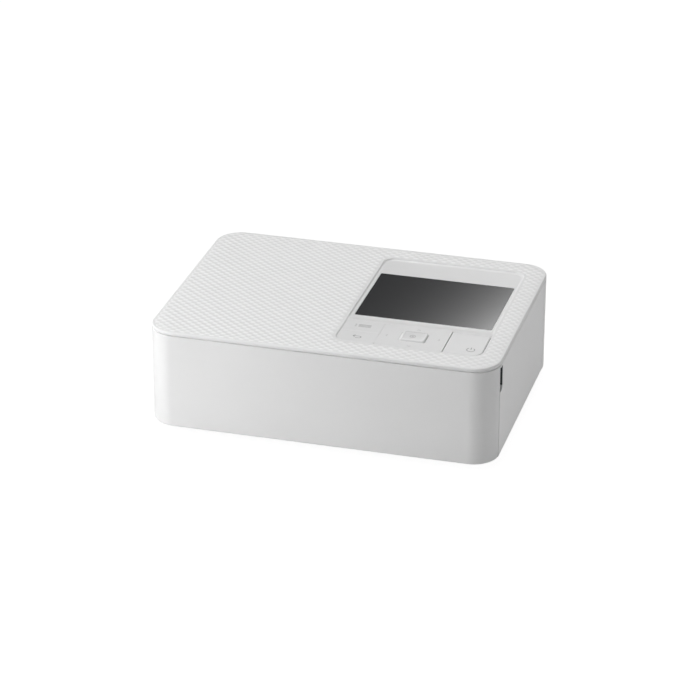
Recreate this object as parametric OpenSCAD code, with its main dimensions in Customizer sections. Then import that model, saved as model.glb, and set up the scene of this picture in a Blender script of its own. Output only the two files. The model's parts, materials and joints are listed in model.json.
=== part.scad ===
// Compact photo printer. Origin: centre of the footprint on the table. X right, Y back, Z up.

/* [Body] */
// Overall width, left to right
body_w = 182.2; // [181:0.2:188]
// Overall depth, front to back
body_d = 133; // [132:0.5:138]
// Overall height, feet included
body_h = 57.6; // [57.2:0.2:62]
// Radius of the four upright corners
corner_r = 13.7; // [13:0.1:14.5]
// Thickness of the plastic shells
wall = 2; // [1.6:0.1:2.2]
// Height of the rounded rim round the top
rim_h = 1.75; // [1.6:0.05:2]
// Radius of the rim's upper edge
rim_fillet = 0.8; // [0.4:0.1:1.2]
// Open line between the shells and the rim
seam_gap = 0.4; // [0.35:0.05:0.5]
// Height of the shells' lower edge above the table
skirt_z = 3.9; // [3.6:0.1:4.2]
// Room above the flat top for its low relief
relief_h = 0.2; // [0.1:0.05:0.3]

/* [Base] */
// Height of the rubber feet below the base
foot_h = 1.2; // [1:0.1:1.4]
// Radius of a rubber foot
foot_r = 6; // [5:0.5:7]
// Distance from the body's sides to the feet's centres
foot_in_x = 21; // [18:0.5:26]
// Distance from the body's front and back to the feet's centres
foot_in_y = 20; // [19:0.5:26]
// Thickness of the base floor
floor_t = 2; // [1.6:0.1:2.2]
// Height of the base wall above the floor
base_wall_h = 5; // [4:0.2:5.2]
// Radius of the screws' shanks
screw_r = 1.3; // [1:0.1:1.5]

/* [Front cover] */
// Distance from the front face to the cover's hinge line
front_hinge_in = 6.3; // [6:0.1:6.6]
// Height of the cover's hinge line
front_hinge_z = 8; // [7.8:0.1:8.4]
// Distance from the front face to the back edge of the cover's returns
return_d = 11.4; // [11:0.1:11.6]
// Gap between moving shells and their neighbours
shell_gap = 0.5; // [0.4:0.05:0.6]
// Radius of the cover's hinge pins
front_pin_r = 1.5; // [1.2:0.1:1.7]
// Thickness of a hinge ear
ear_t = 3; // [2.6:0.1:3.4]
// Radial play of a pin in a turning ear
pin_play = 0.05; // [0.03:0.01:0.08]

/* [Ribbon door] */
// Distance from the side face to the door's hinge line
door_hinge_in = 4.5; // [4.4:0.1:4.8]
// Height of the door's hinge line
door_hinge_z = 6.2; // [6:0.1:6.4]
// Radius of the door's hinge pins
door_pin_r = 1; // [0.8:0.1:1.2]
// Distance from the rear corner's start to the door's rear edge
door_rear_in = 3.8; // [3:0.1:5]
// Width of the finger notch
notch_w = 4.8; // [4.6:0.1:6]
// Height of the notch's lower end
notch_z = 40.5; // [38:0.5:42]
// Distance from the door's top edge to the notch
notch_top_in = 1.4; // [1:0.1:2]

/* [Control panel] */
// Width of the smooth control panel
island_w = 76.4; // [76:0.2:79]
// Depth of the control panel
island_d = 106; // [104:0.5:108]
// Distance from the right side face to the panel's centre
island_in = 49.1; // [47.1:0.5:51.1]
// Front to back place of the panel's centre
island_y = 1.1; // [0:0.1:2]
// Corner radius of the panel
island_r = 6; // [4:0.2:7]
// Drop of the panel below the flat top
panel_drop = 0.1; // [0.05:0.05:0.3]
// Depth of the screen area below the keys
screen_drop = 0.9; // [0.5:0.1:1.2]
// Run of the slope between the keys and the screen area
ramp_d = 5; // [3:0.2:6]
// Gap round the panel in the top cover
panel_gap = 0.12; // [0.1:0.01:0.2]
// Width of the flange under the top cover
flange_w = 2; // [1.6:0.1:2.4]
// Thickness of the flange
flange_t = 1.2; // [1:0.1:1.4]
// Width of the display window
screen_w = 72.1; // [70:0.1:73]
// Depth of the display window
screen_d = 53.8; // [50:0.1:56]
// Corner radius of the display window
screen_r = 0.8; // [0.4:0.1:1.2]
// Thickness of the display window
window_t = 0.8; // [0.6:0.1:1]
// Distance from the panel's back edge to the window
screen_back_in = 18.7; // [17:0.1:20]

/* [Keys] */
// Border of the panel round the keys
key_border = 0.4; // [0.3:0.05:0.6]
// Gap round each key
key_gap = 0.2; // [0.15:0.05:0.3]
// Depth of the key field, front to back
key_field_d = 25.2; // [24:0.2:26]
// Width of the left keys, gap included
left_key_w = 20.5; // [18:0.5:22]
// Width of the four-way pad, gap included
nav_w = 35.3; // [33:0.1:37]
// Width of the OK key
ok_w = 13.5; // [12:0.5:15]
// Depth of the OK key
ok_d = 10.3; // [9:0.1:12]
// How much shorter the power key is at the back
power_short = 1.5; // [0:0.1:2]
// Thickness of a key cap
key_t = 1.3; // [1.1:0.1:1.5]
// Travel of a key
key_travel = 0.4; // [0.3:0.05:0.4]
// Radius of a key's stem
stem_r = 1.6; // [1.2:0.1:2]

/* [Paper path] */
// Width of the left bay, from the left wall to the left side plate
left_bay_w = 39.1; // [38.6:0.1:39.6]
// Distance from the right side face to the right side plate
right_gap = 14.1; // [14:0.1:14.6]
// Thickness of a steel side plate
plate_t = 1; // [0.8:0.1:1.2]
// Height at which the paper runs
paper_z = 19.5; // [19.4:0.1:20]
// Radius of the rollers' shafts
shaft_r = 2; // [1.8:0.05:2.1]
// Radial play of a shaft in its bush
bush_play = 0.04; // [0.03:0.01:0.08]
// Wall of a bush
bush_wall = 0.9; // [0.7:0.05:1]
// Radius of the capstan and pinch rollers
capstan_r = 3.5; // [3.3:0.05:3.6]
// Radius of the platen roller
platen_r = 6.5; // [6:0.1:6.6]
// Radius of the pickup roller
pickup_r = 7; // [6.5:0.1:7.2]
// Gap between a roller and the paper or film
roller_gap = 0.2; // [0.15:0.05:0.25]
// Distance from each side plate to the paper cassette's bay
bay_in = 6.5; // [6:0.5:7.5]
// Top of the paper cassette's bay
bay_top_z = 37; // [35:0.5:38]
// Wall of the cassette tunnel
tunnel_t = 1.5; // [1.2:0.1:1.6]

/* [Print head and ribbon] */
// Distance from the rear wall to the cam shaft
cam_in = 4.5; // [4.4:0.1:4.8]
// Distance from the cam shaft to the head's pivot
tail_d = 8; // [7.8:0.1:8.4]
// Height of the head's pivot
pivot_z = 47.5; // [47.3:0.1:47.6]
// Smallest radius of the lifting cam
cam_r = 3; // [2.8:0.1:3.2]
// Rise of the cam over its travel
cam_rise = 0.6; // [0.5:0.05:0.62]
// Front to back size of the head
head_d = 12; // [11:0.2:12.6]
// Distance from the ribbon spools' centres to the base of the body
spool_z = 33; // [32.8:0.1:33.2]
// Distance between the spools' centres
spool_pitch = 42; // [41.5:0.1:42]
// Outer radius of a spool housing
housing_r = 11; // [10.8:0.1:11]
// Wall of the ribbon cassette
cassette_t = 1.4; // [1.2:0.1:1.6]
// Radius of a spool's journals
journal_r = 3; // [2.8:0.1:3.2]
// Radius of the unused ribbon roll
supply_roll_r = 8.6; // [7:0.1:8.8]
// Radius of the used ribbon roll
takeup_roll_r = 6.1; // [5:0.1:8]
// Thickness modelled for the ribbon film
film_t = 0.15; // [0.1:0.01:0.18]
// Travel of the ribbon cassette when it is ejected
eject_travel = 6; // [5:0.1:6]

/* [Gears] */
// Module of all gears
gear_m = 0.8; // [0.78:0.01:0.8]
// Teeth of the motor pinions
pinion_z = 16; // [16:1:16]
// Teeth of the large reduction gear
reduction_z = 36; // [34:1:36]
// Teeth of the capstan and pickup gears
roller_gear_z = 22; // [22:1:22]
// Teeth of the ribbon spindle's gear
ribbon_gear_z = 20; // [20:1:21]
// Length of the main motor
motor_l = 12; // [11:0.5:14]
// Length of the ribbon motor
ribbon_motor_l = 16; // [14:0.5:17]
// Width of a gear's face
gear_w = 2.5; // [2.2:0.1:2.6]
// Play between meshed teeth, along the pitch circle
backlash = 0.16; // [0.12:0.02:0.2]

/* [Ports] */
// Distance from each side plate to the rear paper slot
slot_in = 7.5; // [6.5:0.5:9.5]
// Height of the rear paper slot
slot_h = 6; // [5:0.2:7]
// Width of the fan frame
fan_w = 25; // [24:0.5:25]
// Depth of the fan frame
fan_d = 7; // [6:0.2:7.4]
// Radius of the power inlet's hole
inlet_r = 2.8; // [2.6:0.1:3]

/* [Hidden] */
$fn = 48;

// Colours
shell_white = "#ecebe9";
key_white = "#e4e4e3";
inner_grey = "#8d8f92";
dark_grey = "#3b3d40";
steel = "#b4b8bc";
rubber_black = "#242424";
board_green = "#2f6b45";
brass_yellow = "#b99a55";

// Body levels and faces
top_z = body_h - relief_h;
rim_z = top_z - rim_h;
shell_top = rim_z - seam_gap;
side_x = body_w / 2;
front_y = -body_d / 2;
rear_y = body_d / 2;
inner_x = side_x - wall;
rear_in_y = rear_y - wall;
past = 1;          // how far a cut runs past a face
touch = 0.3;       // how far joined solids run into each other
rest_gap = 0.3;    // gap between parts that only lie close

// Hinge lines
front_axis_y = front_y + front_hinge_in;
return_y = front_y + return_d;
door_axis_x = side_x - door_hinge_in;
door_front_y = return_y + shell_gap;
door_rear_y = rear_y - corner_r - door_rear_in;
cover_top = shell_top - 0.1;

// Base: it stays clear of both covers' lower edges as they swing
base_inset = door_hinge_in + door_hinge_z - skirt_z + rest_gap;
base_front_y = front_axis_y + front_hinge_z - skirt_z + rest_gap;
base_x = side_x - base_inset;
floor_z = foot_h + floor_t;
base_wall_top = floor_z + base_wall_h;
base_wall_t = 2;
hub_r = front_pin_r + 1.5;
lug_x = side_x - 12.6;
ear_x = lug_x + ear_t + shell_gap;
door_hub_r = door_pin_r + 1.2;
door_ears_y = [door_front_y + 8, door_rear_y - 10];
arm_half = 2;
door_arm_half = 1.2;

// Control panel
island_x = side_x - island_in;
panel_top = top_z - panel_drop;
screen_z = panel_top - screen_drop;
panel_low = rim_z - flange_t;
island_back = island_y + island_d / 2;
island_front = island_y - island_d / 2;
screen_y = island_back - screen_back_in - screen_d / 2;
key_x0 = island_x - island_w / 2 + key_border;
key_x1 = island_x + island_w / 2 - key_border;
key_y0 = island_front + key_border;
key_y1 = key_y0 + key_field_d;
split_left = key_x0 + left_key_w;
split_right = split_left + nav_w;
menu_split_y = (key_y0 + key_y1) / 2;
ok_x = (split_left + split_right) / 2;
stem_z = panel_top - key_t - 1.2;
dome_gap = key_travel + 0.05;
dome_h = 1;
board_t = 0.8;
key_board_z = stem_z - dome_gap - dome_h - board_t;

// Mechanism, placed between the side walls and from the rear wall
plate_left_x = -inner_x + left_bay_w;
plate_right_x = side_x - right_gap;
bay_w = plate_right_x - plate_left_x - 2 * bay_in;
slot_w = plate_right_x - plate_left_x - 2 * slot_in;
cam_y = rear_in_y - cam_in;
pivot_y = cam_y - tail_d;
supply_y = pivot_y - 8;
takeup_y = supply_y - spool_pitch;
platen_y = supply_y - 22;
capstan_y = takeup_y - 17;
pickup_y = capstan_y - 13;
capstan_z = paper_z - roller_gap - capstan_r;
pinch_z = paper_z + roller_gap + capstan_r;
platen_z = paper_z - roller_gap - platen_r;
pickup_z = 31;
hole_r = shaft_r + bush_play + bush_wall;
plate_top = pivot_z + 2.5;
plates_x = [plate_left_x, plate_right_x - plate_t];
deck_t = 0.8;
deck_z = plate_top;
mech_x = (plate_left_x + plate_right_x) / 2;
arm_x = [plate_left_x + 15.5, plate_right_x - 12];
arm_t = 1.5;
head_x = [plate_left_x + 14, plate_right_x - 9];
cassette_x = [plate_left_x + 4, plate_right_x + 3];
end_t = 2;
arm_low = pivot_z - 1.6;
cam_clear = 0.15;
cam_z = arm_low - cam_clear - cam_r;
cam_turn = 60;
film_z = paper_z - 0.08;
head_rest_z = film_z + film_t + 2.85;
lever_z = spool_z + 3.2;
lever_t = 3;
lug_z = [lever_z + 0.2, lever_z + 3.2];
lever_arm = 13.75;
lever_tip_r = 1.2;
lug_y = takeup_y - 12.5;
lug_x0 = plate_right_x - 9;
lever_x = lug_x0 - lever_tip_r - 0.1;
lever_y = lug_y - lever_arm;

// Gear train, in three planes left of the left plate
plane_a = plate_left_x - 2 - gear_w;
plane_b = plane_a - 1 - gear_w;
plane_c = plane_b - 0.5 - gear_w;
bracket_x = plane_c - 3;
pitch_d = gear_m / 2;
capstan_pos = [capstan_y, capstan_z];
pickup_pos = [pickup_y, pickup_z];
idler_pos = third_corner(capstan_pos, pickup_pos, pitch_d * (roller_gear_z + pinion_z));
reduction_angle = 50;
reduction_pos = capstan_pos
    + pitch_d * (roller_gear_z + pinion_z) * [cos(reduction_angle), sin(reduction_angle)];
motor_pos = reduction_pos - [pitch_d * (reduction_z + pinion_z), 0];
takeup_pos = [takeup_y, spool_z];
ribbon_angle = 30;
ribbon_pos = takeup_pos
    + pitch_d * (ribbon_gear_z + pinion_z) * [cos(ribbon_angle), sin(ribbon_angle)];
motor_r = 10;
ribbon_motor_r = 7.5;
post_r = 1.5;

// Left bay and rear wall
board_z = base_wall_top + 1.4;
board_x = [-side_x + 3.6, bracket_x - 2];
main_board_t = 1.6;
port_z = board_z + main_board_t;
usb_y = 2;
card_y = -26;
usb_size = [8, 9, 3.2];
card_size = [24, 28, 3];
inlet_x = plate_left_x - 6;
inlet_z = base_wall_top + 6;
fan_x = -side_x + corner_r + fan_w / 2 + 0.6;
fan_z = inlet_z + 23;
post_x = side_x - 10.5;
post_y = front_y + 18.5;
// Two screws hold the top cover on the left; the third holds the front frame
post_places = [[-post_x, post_y], [-post_x, supply_y + 8], [post_x, post_y]];

// The point at the given distance from both p and q, on the lower left side
function third_corner(p, q, dist) =
    let (gap = norm(q - p), along = (q - p) / gap, rise = sqrt(dist * dist - gap * gap / 4))
    (p + q) / 2 + rise * [-along[1], along[0]];
function direction(p, q) = atan2(q[1] - p[1], q[0] - p[0]);
// Angle that puts gear 2's teeth in gear 1's gaps
function mesh_angle(p, z1, turn1, q, z2) =
    direction(p, q) + 180 + (180 + z1 * (direction(p, q) - turn1)) / z2;
function involute(a) = tan(a) * 180 / PI - a;
function half_tooth(z, r) =
    let (base_r = pitch_d * z * cos(20), slope = r > base_r ? acos(base_r / r) : 0)
    90 / z - backlash / (4 * pitch_d * z) * 180 / PI + involute(20) - involute(slope);
function gear_outline(z, turn) = [
    for (i = [0 : z - 1])
        let (mid = turn + i * 360 / z, r = [for (k = [-1, -0.3, 0.25, 0.8]) pitch_d * z + gear_m * k])
        each concat(
            [for (k = [0 : 3]) let (a = mid - half_tooth(z, r[k])) r[k] * [cos(a), sin(a)]],
            [for (k = [3 : -1 : 0]) let (a = mid + half_tooth(z, r[k])) r[k] * [cos(a), sin(a)]]
        )
];
function arc(c, r, a0, a1, n) =
    [for (i = [0 : n]) let (a = a0 + (a1 - a0) * i / n) c + r * [cos(a), sin(a)]];

// A span to both sides of a middle, and a span measured from a start
function about(middle, half) = [middle - half, middle + half];
function span(start, ends) = [start + ends[0], start + ends[1]];

// A box from its spans along X, Y and Z
module block(x, y, z) {
    translate([x[0], y[0], z[0]]) cube([x[1] - x[0], y[1] - y[0], z[1] - z[0]]);
}
// Round bars along each axis
module rod_x(x, p, r) {
    translate([x[0], p[0], p[1]]) rotate([0, 90, 0]) cylinder(r = r, h = x[1] - x[0]);
}
module rod_y(y, x, z, r) {
    translate([x, y[1], z]) rotate([90, 0, 0]) cylinder(r = r, h = y[1] - y[0]);
}
module rod_z(z, x, y, r) {
    translate([x, y, z[0]]) cylinder(r = r, h = z[1] - z[0]);
}
// A side-view outline (Y across, Z up), drawn through from x[0] to x[1]
module side_slab(x) {
    translate([x[0], 0, 0]) rotate([90, 0, 90]) linear_extrude(x[1] - x[0]) children();
}
// A front-view outline (X across, Z up), drawn through from y[0] to y[1]
module front_slab(y) {
    translate([0, y[1], 0]) rotate([90, 0, 0]) linear_extrude(y[1] - y[0]) children();
}
module rounded_rect(w, d, r) {
    square([w - 2 * r, d], center = true);
    square([w, d - 2 * r], center = true);
    for (sx = [-1, 1], sy = [-1, 1])
        translate([sx * (w / 2 - r), sy * (d / 2 - r)]) circle(r);
}
// Sweeps a wall's cross-section round the body's outline; x = corner_r is the outer face
module round_the_body() {
    straight_x = side_x - corner_r;
    straight_y = rear_y - corner_r;
    for (s = [0, 1]) {
        mirror([s, 0, 0]) translate([straight_x, straight_y, 0]) rotate([90, 0, 0])
            linear_extrude(2 * straight_y) children();
        mirror([0, s, 0]) translate([-straight_x, straight_y, 0]) rotate([90, 0, 90])
            linear_extrude(2 * straight_x) children();
        for (t = [0, 1])
            mirror([s, 0, 0]) mirror([0, t, 0]) translate([straight_x, straight_y, 0])
                rotate_extrude(angle = 90) children();
    }
}

// ---- Base and shells ----

module base_outline() {
    intersection() {
        rounded_rect(2 * base_x, body_d - 2 * base_inset, corner_r - base_inset);
        translate([-side_x, base_front_y]) square([body_w, rear_y - base_front_y]);
    }
}
module base_tray() {
    ring_r = corner_r - base_inset - base_wall_t;
    color(dark_grey) difference() {
        union() {
            translate([0, 0, foot_h]) linear_extrude(floor_t) base_outline();
            translate([0, 0, floor_z]) linear_extrude(base_wall_h) difference() {
                base_outline();
                translate([0, base_wall_t]) intersection() {
                    rounded_rect(2 * (base_x - base_wall_t), body_d - 2 * base_inset, ring_r);
                    translate([-side_x, base_front_y])
                        square([body_w, rear_y - base_inset - 2 * base_wall_t - base_front_y]);
                }
            }
            for (s = [-1, 1]) front_lug(s);
            for (p = post_places) rod_z([foot_h, base_wall_top], p[0], p[1], screw_r + 2);
            for (y = door_ears_y) door_lug(y + ear_t + shell_gap);
            for (y = [post_y + 12, supply_y - 6], x = [board_x[0] + 7, board_x[1] - 3])
                rod_z([foot_h, board_z], x, y, 2.4);
        }
        block(about(mech_x, bay_w / 2 + tunnel_t + rest_gap),
            [base_front_y - past, base_front_y + base_wall_t + past], [floor_z, base_wall_top + past]);
        for (p = post_places) {
            rod_z([foot_h - past, foot_h + 1.4], p[0], p[1], screw_r * 2 + 0.2);
            rod_z([foot_h, base_wall_top + past], p[0], p[1], screw_r);
        }
        for (s = [-1, 1]) rod_x([s * lug_x - 2 * ear_t, s * lug_x + 2 * ear_t],
            [front_axis_y, front_hinge_z], front_pin_r);
        for (y = door_ears_y) rod_y([y, y + 3 * ear_t], door_axis_x, door_hinge_z, door_pin_r);
        for (x = foot_places_x(), y = foot_places_y())
            rod_z([foot_h - past, foot_h + 0.8], x, y, foot_r);
    }
}
function foot_places_x() = [-side_x + foot_in_x, side_x - foot_in_x];
function foot_places_y() = [front_y + foot_in_y, rear_y - foot_in_y];
// A fixed lug that holds the front cover's pin
module front_lug(s) {
    x = s > 0 ? [lug_x, lug_x + ear_t] : [-lug_x - ear_t, -lug_x];
    z = [front_hinge_z - arm_half, front_hinge_z + arm_half];
    rod_x(x, [front_axis_y, front_hinge_z], hub_r);
    block(x, [front_axis_y, base_front_y + 2], z);
    block(x, [base_front_y, base_front_y + 3], [foot_h, z[1]]);
}
// A fixed lug that holds a pin of the ribbon door
module door_lug(y) {
    z = [door_hinge_z - door_arm_half, door_hinge_z + door_arm_half];
    rod_y([y, y + ear_t], door_axis_x, door_hinge_z, door_hub_r);
    block([base_x - 1, door_axis_x], [y, y + ear_t], z);
}
module rubber_feet() {
    color(rubber_black) for (x = foot_places_x(), y = foot_places_y())
        rod_z([0, foot_h + 0.8], x, y, foot_r);
}
// The rear paper slot, fan vents, ports and side vents are cut through the shell
module side_shell() {
    color(shell_white) difference() {
        round_the_body() polygon([
            [corner_r - base_inset, skirt_z], [corner_r, skirt_z], [corner_r, shell_top],
            [corner_r - wall, shell_top], [corner_r - wall, skirt_z + 1.5],
            [corner_r - base_inset, skirt_z + 1.5]
        ]);
        block([-side_x - past, side_x + past], [front_y - past, door_front_y],
            [skirt_z - past, shell_top + past]);
        block([base_x - touch, side_x + past], [door_front_y - past, door_rear_y + shell_gap],
            [skirt_z - past, shell_top + past]);
        block([mech_x - slot_w / 2, mech_x + slot_w / 2], [rear_in_y - past, rear_y + past],
            [paper_z - slot_h / 2, paper_z + slot_h / 2]);
        for (i = [-3 : 3])
            block([fan_x - fan_w / 2 + 2.5, fan_x + fan_w / 2 - 2.5], [rear_in_y - past, rear_y + past],
                about(fan_z + 3 * i, 0.8));
        rod_y([rear_in_y - past, rear_y + past], inlet_x, inlet_z, inlet_r + 0.5);
        x = [-side_x - past, -inner_x + past];
        block(x, about(usb_y, usb_size[1] / 2 + 0.2), [port_z - 0.2, port_z + usb_size[2] + 0.2]);
        block(x, about(card_y, card_size[1] / 2 - 1.2), span(port_z, [0.1, 2.9]));
        for (i = [0 : 8]) block(x, about(supply_y - 24 + 3 * i, 0.8), [35, 48]);
    }
}
module top_cover() {
    lip_x = corner_r - wall - shell_gap;
    color(shell_white) {
        difference() {
            union() {
                round_the_body() polygon(concat(
                    [[0, rim_z], [corner_r, rim_z]],
                    arc([corner_r - rim_fillet, top_z - rim_fillet], rim_fillet, 0, 90, 8),
                    [[0, top_z]]
                ));
                block(about(0, side_x - corner_r), about(0, rear_y - corner_r), [rim_z, top_z]);
            }
            translate([island_x, island_y, rim_z - past]) linear_extrude(rim_h + 2 * past)
                rounded_rect(island_w, island_d, island_r);
        }
        round_the_body() polygon([
            [lip_x - 1.2, rim_z - 1.8], [lip_x, rim_z - 1.8], [lip_x, rim_z + touch],
            [lip_x - 1.2, rim_z + touch]
        ]);
        for (p = [post_places[0], post_places[1]]) difference() {
            rod_z([base_wall_top, rim_z + touch], p[0], p[1], screw_r + 1.5);
            rod_z([base_wall_top - past, base_wall_top + 10], p[0], p[1], screw_r);
        }
    }
}

// ---- Front cover and ribbon door ----

module front_cover() {
    ear_y = front_y + wall;
    color(shell_white) difference() {
        union() {
            difference() {
                round_the_body() polygon(concat(
                    [[corner_r - wall, skirt_z]],
                    arc([corner_r - 1, skirt_z + 1], 1, -90, 0, 6),
                    arc([corner_r - 0.4, cover_top - 0.4], 0.4, 0, 90, 4),
                    [[corner_r - wall, cover_top]]
                ));
                block([-side_x - past, side_x + past], [return_y, rear_y + past], [0, body_h]);
                // The lower back corner is rounded about the hinge line
                difference() {
                    block([-side_x - past, side_x + past], [front_axis_y, return_y + past],
                        [0, front_hinge_z]);
                    rod_x([-side_x - 2 * past, side_x + 2 * past], [front_axis_y, front_hinge_z],
                        return_d - front_hinge_in);
                }
            }
            for (s = [0, 1]) mirror([s, 0, 0]) {
                rod_x([ear_x, ear_x + ear_t], [front_axis_y, front_hinge_z], hub_r);
                block([ear_x, ear_x + ear_t], [ear_y + 0.5, front_axis_y],
                    about(front_hinge_z, arm_half));
            }
            for (x = [-40, 0, 40])
                block(about(x, 0.6), span(ear_y, [-touch, 1.6]), [skirt_z + 6, cover_top - 6]);
        }
        for (s = [0, 1]) mirror([s, 0, 0])
            rod_x([ear_x - past, ear_x + ear_t + past], [front_axis_y, front_hinge_z],
                front_pin_r + pin_play);
    }
}
module front_hinge_pins() {
    color(steel) for (s = [0, 1]) mirror([s, 0, 0])
        rod_x([lug_x - 0.5, ear_x + ear_t + 0.6], [front_axis_y, front_hinge_z], front_pin_r);
}
module ribbon_door() {
    notch_top = shell_top - notch_top_in;
    notch_r = notch_w / 2;
    notch_y = [door_front_y - past, door_front_y + notch_w];
    color(shell_white) difference() {
        union() {
            intersection() {
                round_the_body() polygon(concat(
                    [[corner_r - wall, skirt_z]],
                    arc([corner_r - 1, skirt_z + 1], 1, -90, 0, 6),
                    [[corner_r, shell_top], [corner_r - wall, shell_top]]
                ));
                block([base_x, side_x + past], [door_front_y, door_rear_y], [0, body_h]);
            }
            for (y = door_ears_y) {
                rod_y([y, y + ear_t], door_axis_x, door_hinge_z, door_hub_r);
                block([door_axis_x, inner_x + touch], [y, y + ear_t],
                    about(door_hinge_z, door_arm_half));
            }
        }
        block([inner_x - past, side_x + past], notch_y, [notch_z + notch_r, notch_top]);
        block([inner_x - past, side_x + past], [notch_y[0], notch_y[1] - notch_r],
            [notch_z, notch_z + 2 * notch_r]);
        rod_x([inner_x - past, side_x + past], [notch_y[1] - notch_r, notch_z + notch_r], notch_r);
        for (y = door_ears_y)
            rod_y([y - past, y + ear_t + past], door_axis_x, door_hinge_z, door_pin_r + pin_play);
    }
}
module ribbon_door_pins() {
    color(steel) for (y = door_ears_y)
        rod_y([y - 0.4, y + 2 * ear_t + shell_gap + 0.4], door_axis_x, door_hinge_z, door_pin_r);
}

// ---- Control panel and keys ----

module island_outline(inset) {
    translate([island_x, island_y])
        rounded_rect(island_w - 2 * inset, island_d - 2 * inset, island_r - inset);
}
// The key field, or one key's share of it
module key_outline(x, y, inset) {
    intersection() {
        island_outline(key_border + inset);
        translate([x[0] + inset, y[0] + inset])
            square([x[1] - x[0] - 2 * inset, y[1] - y[0] - 2 * inset]);
    }
}
module display_outline(gap) {
    translate([island_x, screen_y]) rounded_rect(screen_w + 2 * gap, screen_d + 2 * gap, screen_r + gap);
}
module control_panel() {
    ramp_y = key_y1 + 0.3;
    field_x = [key_x0, key_x1];
    color(key_white) difference() {
        union() {
            translate([0, 0, panel_low]) linear_extrude(panel_top - panel_low)
                island_outline(panel_gap);
            translate([0, 0, panel_low]) linear_extrude(flange_t - 0.05) island_outline(-flange_w);
            for (sx = [-1, 1], y = [island_front + island_r, key_y1 + 1.5])
                rod_z([key_board_z + board_t, panel_low + touch],
                    island_x + sx * (island_w / 2 + 0.8), y, 1);
        }
        // The slope down to the screen area starts and ends gently
        side_slab([island_x - island_w, island_x + island_w]) polygon(concat(
            [for (i = [0 : 8]) let (t = i / 8)
                [ramp_y + ramp_d * t, panel_top - screen_drop * t * t * (3 - 2 * t)]],
            [[rear_y, screen_z], [rear_y, top_z + past], [ramp_y, top_z + past]]
        ));
        translate([0, 0, panel_low - past]) linear_extrude(body_h) display_outline(0.05);
        translate([0, 0, panel_low - past]) linear_extrude(body_h) {
            key_outline([key_x0, split_right], [key_y0, key_y1], 0);
            key_outline([split_right - touch, key_x1], [key_y0, key_y1 - power_short], 0);
        }
    }
}
module display_window() {
    color("#15171a") translate([0, 0, screen_z - window_t]) linear_extrude(window_t)
        display_outline(0);
}
module display_module() {
    glass_low = panel_low - 0.2;
    color(dark_grey) {
        block(about(island_x, 38.5), about(screen_y, 30), [deck_z + deck_t, glass_low]);
        block(about(island_x, screen_w / 2 - 0.6), about(screen_y, screen_d / 2 - 0.6),
            [glass_low, screen_z - window_t]);
    }
}
// Where the keys' stems stand
function nav_stems() = [
    [ok_x - nav_w / 2 + 5, menu_split_y], [ok_x + nav_w / 2 - 5, menu_split_y],
    [ok_x, key_y0 + 3.2], [ok_x, key_y1 - 3.2]
];
left_key_x = (key_x0 + split_left) / 2;
power_x = (split_right + key_x1) / 2;
menu_stem = [left_key_x, (menu_split_y + key_y1) / 2];
back_stem = [left_key_x, (menu_split_y + key_y0) / 2];
ok_stem = [ok_x, menu_split_y];
power_stem = [power_x, menu_split_y];
module key_board() {
    stems = concat(nav_stems(), [menu_stem, back_stem, ok_stem, power_stem]);
    color(board_green) {
        translate([0, 0, key_board_z]) linear_extrude(board_t) intersection() {
            island_outline(-flange_w);
            translate([island_x - island_w, front_y])
                square([2 * island_w, key_y1 + 3 - front_y]);
        }
        for (p = stems) {
            translate([p[0], p[1], key_board_z + board_t]) cylinder(r = 2.5, h = dome_h * 0.6);
            translate([p[0], p[1], key_board_z + board_t + dome_h * 0.6])
                cylinder(r = 1.7, h = dome_h * 0.4);
        }
    }
}
module key_cap(x, y, stems, top) {
    translate([0, 0, panel_top - key_t]) linear_extrude(top - panel_top + key_t)
        key_outline(x, y, key_gap);
    for (p = stems) rod_z([stem_z, panel_top - key_t + touch], p[0], p[1], stem_r);
}
module menu_key() {
    color(key_white) key_cap([key_x0, split_left], [menu_split_y, key_y1], [menu_stem], panel_top);
}
module back_key() {
    color(key_white) key_cap([key_x0, split_left], [key_y0, menu_split_y], [back_stem], panel_top);
}
module nav_pad() {
    color(key_white) difference() {
        key_cap([split_left, split_right], [key_y0, key_y1], nav_stems(), panel_top);
        translate([ok_x, menu_split_y, 0]) linear_extrude(body_h)
            rounded_rect(ok_w + 2 * key_gap, ok_d + 2 * key_gap, 1.2);
    }
}
module ok_key() {
    color(key_white) {
        translate([ok_x, menu_split_y, panel_top - key_t])
            linear_extrude(body_h - panel_top + key_t) rounded_rect(ok_w, ok_d, 1);
        rod_z([stem_z, panel_top - key_t + touch], ok_stem[0], ok_stem[1], stem_r);
    }
}
module power_key() {
    color("white")
        key_cap([split_right, key_x1], [key_y0, key_y1 - power_short], [power_stem], panel_top);
}

// ---- Frames and guides ----

module front_frame() {
    y = [return_y - 1.9, return_y - 0.4];
    x = side_x - 5.1;
    top = key_board_z - 1.5;
    low = front_hinge_z + hub_r + 0.2;
    post = post_places[2];
    post_top = base_wall_top + 9;
    color(inner_grey) difference() {
        union() {
            block([-x, x], y, [low, top]);
            block(about(post[0], 2.5), [y[1] - touch, post[1]], [low, post_top]);
            rod_z([base_wall_top, post_top], post[0], post[1], screw_r + 1.5);
        }
        block(about(mech_x, bay_w / 2 + tunnel_t), [y[0] - past, y[1] + past],
            [0, bay_top_z + tunnel_t]);
        rod_z([base_wall_top - past, post_top - 0.8], post[0], post[1], screw_r);
    }
}
module cassette_tunnel() {
    y = [return_y - 0.4, pickup_y - pickup_r - 0.8];
    half = bay_w / 2;
    color(inner_grey) difference() {
        block(about(mech_x, half + tunnel_t), y, [floor_z, bay_top_z + tunnel_t]);
        block(about(mech_x, half), [y[0] - past, y[1] + past], [floor_z + tunnel_t, bay_top_z]);
    }
}
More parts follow.
